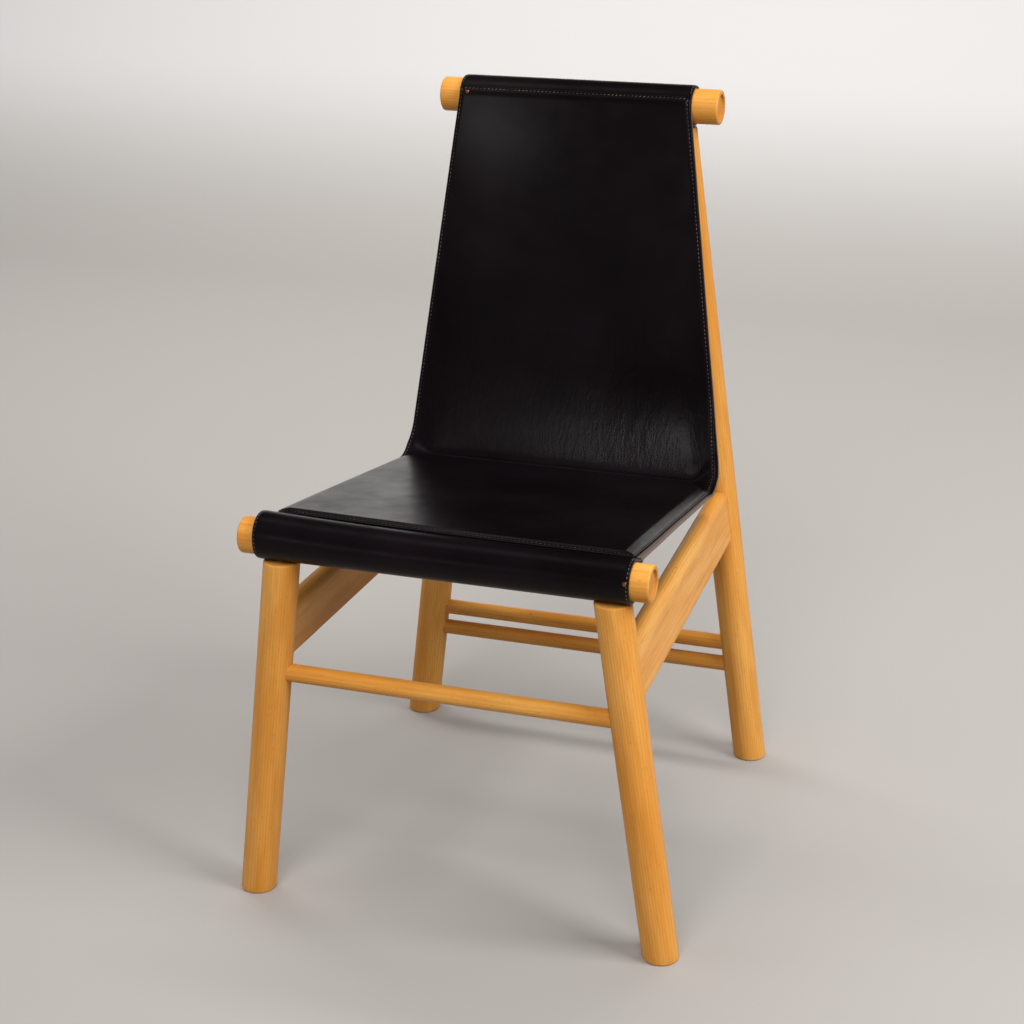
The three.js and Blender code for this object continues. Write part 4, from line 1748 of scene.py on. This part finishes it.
    def polish(self, along: Array, a: Array) -> Array:
        """How far clothes have polished the leather: all over the seat, and in two soft bells
        on the back, low on the right and high on the left.

        A bell's numbers are its height, its middle across and along, the second counted from
        where the back or the top wrap starts, and its reach across and along.

        Args:
            along: Distance along the path.
            a: Signed distance across from the middle.

        Returns:
            Shares from 0 upwards.
        """
        path = self.path
        seat, fold, back, top = path.starts(Part.SEAT, Part.CREASE, Part.BACK, Part.TOP_WRAP)
        on_seat = smoothstep(along, seat - 4 * MM, seat + 2 * MM)
        on_seat = on_seat * (1 - smoothstep(along, fold - 20 * MM, fold))
        on_back = 0.0
        for origin, (most, x, y, wide, high) in ((back, self.low_shine), (top, self.high_shine)):
            on_back = on_back + most * bell(a - x, wide) * bell(along - origin - y, high)
        return np.maximum(on_seat, on_back * smoothstep(along, back, back + 5 * MM))

    def base(self, finish: Material) -> Piece:
        """Builds the base leather, which runs round both rollers and back on itself.

        Its thickness falls to nothing through the edge's rounding as a quarter ellipse. Its
        cut edge is left raw along the seat and back, and its lower face is the flesh side.

        Args:
            finish: The leather.

        Returns:
            The finished piece.
        """
        path = self.path
        ends = (0.0, float(path.breaks[-1]))
        no_inset = lambda s: np.zeros_like(s)
        along, a, edge_in, share = self.grid(ends, no_inset, self.edge_radius, 6 * MM, 5 * MM)
        swell = quarter_round(share)
        seam = bell(edge_in - self.hem_inset, self.groove_width)
        hemmed = 1 - self.covered(along)
        upper = path.thickness / 2 * swell - swell * self.groove_depth * seam * hemmed
        lower = -path.thickness / 2 * swell
        top = self.marks(along, a, edge_in, share)
        seat, wrap = path.start_of(Part.SEAT), path.start_of(Part.TOP_WRAP)
        top["raw"] = smoothstep(along, seat - 3 * MM, seat - MM) * (along < wrap)
        shown = self.ledge(along) - np.sign(a) * self.offset(along)
        inner, outer = self.pared_band
        pared = 1 - smoothstep(edge_in, inner * shown, outer * shown)
        top["edge"] = np.maximum(top["edge"], pared * top["raw"] * self.on_seat(along))
        low = {**top, "flesh": smoothstep(share, 0.25, 0.6)}
        return self.shell("leather_sling_base", along, a, (upper, lower), (top, low), finish)

    def on_seat(self, s: Array) -> Array:
        """1 on the seat, easing to 0 over the last stretch before the crease."""
        fold = self.path.start_of(Part.CREASE)
        return 1 - smoothstep(s, fold - self.seat_end, fold)

    def covered(self, s: Array) -> Array:
        """1 where the panel lies over the base, easing to 0 past its ends.

        Args:
            s: Distance along the path.

        Returns:
            Shares from 0 to 1.
        """
        first, last = self.panel_ends
        ease = 6 * MM
        return smoothstep(s, first - ease, first) * (1 - smoothstep(s, last, last + ease))

    def panel(self, finish: Material) -> Piece:
        """Builds the face panel, sewn down round its edge and raised over the seat pad.

        Args:
            finish: The leather.

        Returns:
            The finished piece.
        """
        path = self.path
        along, a, edge_in, share = self.grid(self.panel_ends, self.ledge, self.square, 3.6 * MM, 14 * MM)
        first, last = self.panel_ends
        swell = quarter_round(share)
        seam = bell(edge_in - self.seam_inset(along), self.groove_width)
        front = bell(along - first - self.front_seam, self.groove_width)
        head = bell(last - along - self.top_seam, self.groove_width)
        seam = np.maximum(seam, np.maximum(front, head))
        thick = self.panel_thickness - self.thinning(along, edge_in)
        bottom = path.thickness / 2 + self.layer_gap + self.rise(along, edge_in)
        upper = bottom + thick * (0.5 + 0.5 * swell) - swell * self.groove_depth * seam
        lower = bottom + thick * (0.5 - 0.5 * swell)
        placed = along + self.slack(along, a)
        a = a + self.offset(along)
        top = self.marks(placed, a, edge_in, share)
        inside = smoothstep(edge_in, 0.7 * self.side_border, self.side_border)
        top["puckered"] = self.on_seat(along) * (1 - inside)
        low = {**top, "flesh": 1 - top["edge"]}
        return self.shell("leather_sling_panel", placed, a, (upper, lower), (top, low), finish)

    def pad(self, finish: Material) -> Piece:
        """Builds the felt pad that lies between the layers under the seat, inside the border.

        Args:
            finish: The felt.

        Returns:
            The finished piece.
        """
        path = self.path
        inset = lambda s: self.ledge(s) + self.pad_inset
        along, a, edge_in, share = self.grid(self.pad_ends, inset, self.square, 12 * MM, 5 * MM)
        swell = quarter_round(share)
        room = self.rise(along, edge_in + self.pad_inset) - self.layer_gap
        full = np.minimum(self.pad_thickness, room)
        bottom = path.thickness / 2 + self.layer_gap
        upper = bottom + full * (0.5 + 0.5 * swell)
        lower = bottom + full * (0.5 - 0.5 * swell)
        placed = along + self.slack(along, a)
        a = a + self.offset(along)
        carried = {"hide": np.stack([a, placed, 0 * a], -1)}
        return self.shell("felt_seat_pad", placed, a, (upper, lower), (carried, carried), finish)

    def seams(self) -> dict[str, tuple[Array, Array, Array, float]]:
        """Lines of stitching.

        Returns:
            For each seam its dense distances along and across, the lift of the leather's face
            there, and how far each stitch slants off the seam, in radians.
        """
        first, last = self.panel_ends
        path = self.path
        base_top = path.thickness / 2
        found: dict[str, tuple[Array, Array, Array, float]] = {}
        for side in Side:
            s = np.linspace(first + self.front_seam, last - self.top_seam, 3000)
            inset = self.seam_inset(s)
            a = side.value * (path.half_width(s) - self.ledge(s) - inset) + self.offset(s)
            face = self.face(s, inset)
            found[f"panel_side_stitches_{side.word}"] = (s + self.slack(s, a), a, face, 0.0)
            for word, low, high in (
                ("front", path.start_of(Part.FRONT_PINCH), first),
                ("top", last, path.end_of(Part.TOP_WRAP)),
            ):
                s = np.linspace(low + 4 * MM, high - 4 * MM, 900)
                a = side.value * (path.half_width(s) - self.hem_inset)
                found[f"{word}_hem_stitches_{side.word}"] = (s, a, np.full_like(s, base_top), 0.0)
        for word, at, slant in (
            ("panel_front", first + self.front_seam, 10),
            ("panel_top", last - self.top_seam, 24),
        ):
            s = np.full(1500, at)
            reach = float(path.half_width(s[:1])[0] - self.ledge(s[:1])[0]) - self.seam_end
            a = np.linspace(-reach, reach, 1500)
            face = self.face(s, reach + self.seam_end - np.abs(a))
            placed = s + self.slack(s, a)
            found[f"{word}_stitches"] = (placed, a + self.offset(s), face, math.radians(slant))
        end = float(path.breaks[-1])
        for word, at in (("front_flap", self.flap_seam), ("top_flap", end - self.flap_seam)):
            reach = float(path.half_width(np.array([at]))[0]) - self.flap_seam_end
            a = np.linspace(-reach, reach, 1500)
            s, face = np.full_like(a, at), np.full_like(a, base_top)
            found[f"{word}_stitches"] = (s, a, face, math.radians(10))
        return found

    def face(self, s: Array, edge_in: Array) -> Array:
        """Lift of the panel's upper face, without its seam's groove."""
        bottom = self.path.thickness / 2 + self.layer_gap + self.rise(s, edge_in)
        return bottom + self.panel_thickness - self.thinning(s, edge_in)

    def stitch_line(
        self, name: str, s: Array, a: Array, lift: Array, slant: float, finish: Material
    ) -> Piece:
        """Builds a row of stitches, each a small bead of thread that dips in at both ends.

        Stitches stand every stitch_pitch of true length along the seam. One is a tube along
        the seam, half sunk in the groove: offset along (cos b) and height (sin b) of an arch.

        Args:
            name: The row's name.
            s: Dense distances along the path.
            a: Dense distances across.
            lift: Lift of the face that the thread lies on.
            slant: Turn of each stitch off the seam line, in radians.
            finish: The thread.

        Returns:
            The finished piece.
        """
        sunk = self.groove_depth * 0.75
        line = self.path.surface(s, a, self.relief(s, a) + lift - sunk)
        above = self.path.surface(s, a, self.relief(s, a) + lift - sunk + MM)
        run = np.concatenate([[0], np.cumsum(np.linalg.norm(np.diff(line, axis=0), axis=1))])
        count = int(run[-1] / self.stitch_pitch)
        middle = (np.arange(count) + 0.5) * run[-1] / count
        sample = lambda values, at: np.stack([np.interp(at, run, values[:, k]) for k in range(3)], -1)
        centre = sample(line, middle)
        normal = sample(above, middle) - centre
        normal /= np.linalg.norm(normal, axis=1, keepdims=True)
        along = sample(line, middle + 0.5 * MM) - sample(line, middle - 0.5 * MM)
        along /= np.linalg.norm(along, axis=1, keepdims=True)
        across = np.cross(normal, along)
        along = along * math.cos(slant) + across * math.sin(slant)
        across = np.cross(normal, along)
        b = np.linspace(-math.pi / 2, math.pi / 2, 7)
        c = np.arange(6) * math.tau / 6
        reach = self.stitch_length / 2 * np.sin(b)
        girth = self.thread * (0.25 + 0.75 * np.cos(b) ** 0.5)
        rise = self.thread * (1.15 * np.cos(b) - 0.55)
        points = (
            centre[:, None, None, :]
            + reach[None, :, None, None] * along[:, None, None, :]
            + (girth[:, None] * np.cos(c))[None, :, :, None] * across[:, None, None, :]
            + (rise[:, None] + girth[:, None] * np.sin(c))[None, :, :, None] * normal[:, None, None, :]
        )
        ends = points.mean(axis=2, keepdims=True)
        points[:, (0, -1)] = ends[:, (0, -1)]
        patches = [Patch(each, closed=True, flip=True) for each in points]
        return build_piece(name, patches, finish)

    def build(
        self,
        leather: Material,
        thread: Material,
        darker_thread: Material,
        felt: Material,
    ) -> list[Piece]:
        """Builds both layers, the pad between them and every row of stitches.

        Args:
            leather: The hide of both layers.
            thread: The thread of every row but one.
            darker_thread: The darker copy of the thread, for the row along the seat's front.
            felt: The pad.

        Returns:
            Every piece of the sling.
        """
        base, panel, pad = self.base(leather), self.panel(leather), self.pad(felt)
        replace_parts(base, "sling_base")
        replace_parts(panel, "sling_panel")
        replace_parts(pad, "seat_pad")
        # The row along the seat's front is sewn with the darker copy of the thread.
        rubbed = "panel_front_stitches"
        rows = [
            self.stitch_line(name, *line, darker_thread if name == rubbed else thread)
            for name, line in self.seams().items()
        ]
        self.declare(base, panel, pad)
        return [base, panel, pad, *rows]

    def declare(self, base: Piece, panel: Piece, pad: Piece) -> None:
        """Works out the tapered width of each layer along its length, but records nothing.

        Args:
            base: The base leather.
            panel: The face panel.
            pad: The pad.
        """
        path = self.path
        rollers = ["turned_front_roller", "turned_top_roller"]
        for piece, (low, high), border, held, rests in (
            (base, (0.0, float(path.breaks[-1])), None, "stretched", rollers),
            (panel, self.panel_ends, 0.0, "stretched", [base]),
            (pad, self.pad_ends, self.pad_inset, "laid", [base]),
        ):
            s = np.linspace(low, high, 400)
            width = 2 * path.half_width(s)
            if border is not None:
                width = width - 2 * (self.ledge(s) + border)
            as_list(rests)


@dataclass
class Rivets:
    """Two copper rivets that pin the leather to the rollers."""

    head_radius: float = 2.4 * MM
    washer_rise: float = 0.45 * MM
    head_rise: float = 1.1 * MM
    eye_radius: float = 1.0 * MM
    shank: float = 3.0 * MM
    top_across: float = -131.5 * MM
    top_turn: float = math.radians(19)
    front_across: float = 203.6 * MM
    front_turn: float = math.radians(16)

    def profile(self) -> Array:
        """Half section of a rivet: shank, flat washer, and a low head with a dimple.

        Returns:
            Array of (radius, height) rows.
        """
        rows = [
            (0.0, -self.shank),
            (self.eye_radius, -self.shank),
            (self.eye_radius, -0.02 * MM),
            (self.head_radius * 0.96, 0.0),
            (self.head_radius, 0.12 * MM),
            (self.head_radius * 0.97, 0.34 * MM),
            (self.head_radius * 0.86, self.washer_rise),
            (self.head_radius * 0.66, self.washer_rise * 1.1),
            (self.head_radius * 0.6, self.washer_rise * 1.5),
            (self.head_radius * 0.52, self.head_rise * 0.86),
            (self.head_radius * 0.4, self.head_rise),
            (self.head_radius * 0.26, self.head_rise * 0.9),
            (self.head_radius * 0.16, self.head_rise * 0.55),
            (0.0, self.head_rise * 0.45),
        ]
        return np.array(rows)

    def rivet(
        self, name: str, axis: tuple[float, float, float], turn: float, reach: float, finish: Material
    ) -> Piece:
        """Builds a rivet whose head lies at reach from a roller's axis, turned up from level.

        The lathe's Z points out along (0, -cos turn, sin turn).

        Args:
            name: The rivet's name.
            axis: The point of the roller's axis beside it.
            turn: Its angle above level, in radians.
            reach: Distance from the axis to the seat of its head.
            finish: The copper.

        Returns:
            The finished piece.
        """
        bar = lathe(self.profile(), 32)
        out = np.array([0.0, -math.cos(turn), math.sin(turn)])
        side = np.array([1.0, 0.0, 0.0])
        up = np.cross(out, side)
        seat = np.array(axis) + out * reach
        placed = seat + bar[..., :1] * side + bar[..., 1:2] * up + bar[..., 2:] * out
        made = build_piece(f"copper_{name}", [Patch(placed, closed=True)], finish, crease=60)
        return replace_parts(made, name)

    def build(self, sling: Sling, finish: Material) -> list[Piece]:
        """Builds the rivet at the panel's top left corner and the one at the front right.

        Args:
            sling: The leather that they go through.
            finish: The copper.

        Returns:
            Both rivets.
        """
        shape, path = sling.path.shape, sling.path
        on_base = path.wrap + path.thickness / 2 + sling.layer_gap
        on_panel = on_base + sling.panel_thickness + sling.layer_gap
        top = (self.top_across, shape.rear_head[1], shape.rear_axis)
        front = (self.front_across, shape.front_head[1], shape.front_axis)
        return [
            self.rivet("rivet_top_left", top, self.top_turn, on_panel, finish),
            self.rivet("rivet_front_right", front, self.front_turn, on_base, finish),
        ]


# Studio


@dataclass
class Softbox:
    """A soft rectangular lamp that faces a point of the chair."""

    name: str
    place: tuple[float, float, float]
    size: tuple[float, float]
    power: float
    target: tuple[float, float, float] = (0.0, 0.0, 0.42)
    in_gloss: bool = True

    def build(self) -> Piece:
        """Hangs the lamp and turns it to its target. Some lamps are kept out of reflections.

        Returns:
            The lamp.
        """
        lamp = bpy.data.lights.new(self.name, "AREA")
        lamp.shape = "RECTANGLE"
        lamp.size, lamp.size_y = self.size
        lamp.energy = self.power
        made = link_object(self.name, lamp)
        made.location = self.place
        made.visible_glossy = self.in_gloss
        aim = np.array(self.target) - np.array(self.place)
        flat = math.hypot(aim[0], aim[1])
        tilt, turn = math.atan2(flat, -aim[2]), math.atan2(aim[1], aim[0]) - math.pi / 2
        made.rotation_euler = Euler((tilt, 0, turn))
        return made


@dataclass
class Studio:
    """A pale floor that sweeps up into a pale wall, soft lamps and the photographer's camera."""

    floor_colour: str = "b2aea9"
    far_floor_colour: str = "6b6967"
    floor_shade: tuple[float, float] = (-4.6, -2.6)
    wall_colour: str = "d6d4d2"
    bounce_colour: str = "87837f"
    wall_top_colour: str = "3c3b3a"
    wall_foot: float = 0.35
    wall_shade: tuple[float, float] = (1.3, 2.2)
    reach: float = 9.0
    sweep_radius: float = 1.2
    wall_place: float = 3.4
    wall_height: float = 6.0
    world_colour: str = "e6dfe3"
    world_strength: float = 0.16
    camera_place: tuple[float, float, float] = (0.76507, -2.20138, 1.32082)
    camera_turn: tuple[float, float, float] = (68.448, 0.92738, 19.50572)
    focal: float = 76.905
    sensor: float = 36.0
    shift: tuple[float, float] = (0.01841, 0.00032)
    lamps: tuple[Softbox, ...] = (
        Softbox("window_right", (3.2, -0.6, 2.6), (2.0, 2.0), 125),
        Softbox("sky_front", (0.5, -3.0, 3.4), (2.4, 2.0), 105, in_gloss=False),
        Softbox("window_left", (-3.0, -1.4, 2.4), (1.6, 1.8), 9),
        Softbox("skylight", (-1.0, -0.1, 3.6), (1.2, 1.2), 4, (0.0, -0.2, 0.45)),
        Softbox("far_window", (-1.7, -4.0, 0.95), (0.7, 0.6), 5, (0.0, 0.17, 0.55)),
        Softbox("wall_wash", (-1.0, 1.1, 3.4), (3.6, 1.0), 110, (-0.8, 3.4, 1.0), in_gloss=False),
    )

    def sweep(self) -> Piece:
        """Builds the backdrop: flat floor, a quarter turn, and a wall.

        The profile in Y-Z is carried along X; the quarter turn is (sin t, 1 - cos t) times
        sweep_radius.

        Returns:
            The backdrop.
        """
        t = np.linspace(0, math.pi / 2, 24)
        radius, start = self.sweep_radius, self.wall_place - self.sweep_radius
        y = np.concatenate([[-self.reach], start + radius * np.sin(t), [self.wall_place]])
        z = np.concatenate([[0.0], radius * (1 - np.cos(t)), [self.wall_height]])
        x = np.array([-self.reach, self.reach])
        points = np.stack(np.broadcast_arrays(x[None, :], y[:, None], z[:, None]), -1)
        patch = Patch(points)
        mesh = bpy.data.meshes.new("backdrop")
        mesh.from_pydata(points.reshape(-1, 3).tolist(), [], patch.faces().tolist())
        mesh.shade_smooth()
        made = link_object("backdrop", mesh)
        paper = Tree("painted_backdrop", {"Roughness": 0.9})
        place = paper.add("SeparateXYZ", [paper.add("TexCoord")["Object"]])
        seen = paper.tones(
            self.far_floor_colour,
            (place["Y"], *self.floor_shade, 0.0, 1.0, self.floor_colour),
            (place["Z"], 0.0, self.wall_foot, 0.0, 1.0, self.wall_colour),
            (place["Z"], *self.wall_shade, 0.0, 1.0, self.wall_top_colour),
        )
        path = paper.add("LightPath")
        direct = path["Is Camera Ray"]
        for ray in ("Is Glossy Ray", "Is Transmission Ray"):
            direct = paper.add("Math", (direct, path[ray]), operation=Maths.LARGER)[0]
        mix = {SHARE: direct, BELOW: self.bounce_colour, ABOVE: seen}
        colour = paper.add("Mix", mix, data_type="RGBA")[MIXED]
        mesh.materials.append(paper.finish({"Base Color": colour}))
        return made

    def build(self) -> None:
        """Sets the backdrop, the lamps, the world, the view transform and the camera."""
        self.sweep()
        for lamp in self.lamps:
            lamp.build()
        scene = bpy.context.scene
        world = bpy.data.worlds.new("studio_air")
        world.use_nodes = True
        air = world.node_tree.nodes["Background"]
        air.inputs["Color"].default_value = linear(self.world_colour)
        air.inputs["Strength"].default_value = self.world_strength
        scene.world = world
        scene.view_settings.view_transform = "Standard"
        lens = bpy.data.cameras.new("camera")
        lens.lens, lens.sensor_width = self.focal, self.sensor
        lens.shift_x, lens.shift_y = self.shift
        camera = link_object("camera", lens)
        camera.location = self.camera_place
        camera.rotation_euler = Euler([math.radians(angle) for angle in self.camera_turn])
        scene.camera = camera


def dress_dowels(finish: Material) -> Iterable[str]:
    """Gives the hidden dowels, which stay CAD nodes, their bare wood.

    Args:
        finish: The bare wood.

    Returns:
        The names of the dowels, one at a time.
    """
    for name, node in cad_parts.items():
        if "dowel" in name:
            node.data.materials.clear()
            node.data.materials.append(finish)
            yield name


def main() -> None:
    """Builds the chair in the order it is made, then the studio, and reports each piece."""
    logging.basicConfig(level=logging.INFO, format="%(message)s")
    beech = LacqueredBeech().build()
    shape = StickFrame()
    made = shape.build(beech)
    made += Rollers().build(shape, beech)
    sling = Sling(SlingPath(shape))
    # A darker copy of the thread, for the row along the seat's front
    darker_thread = WaxedThread(name="soiled_linen_thread", light="403832", dark="1e1a18")
    made += sling.build(
        SaddleLeather().build(), WaxedThread().build(), darker_thread.build(), PressedFelt().build()
    )
    rivets = Rivets().build(sling, WornCopper().build())
    made += rivets
    for name in dress_dowels(BareDowel().build()):
        log.info("dowel %s", name)
    for piece in made:
        log.info("piece %s, %d faces", piece.name, len(piece.data.polygons))
    Studio().build()
    bpy.context.view_layer.update()


if __name__ == "__main__":
    main()
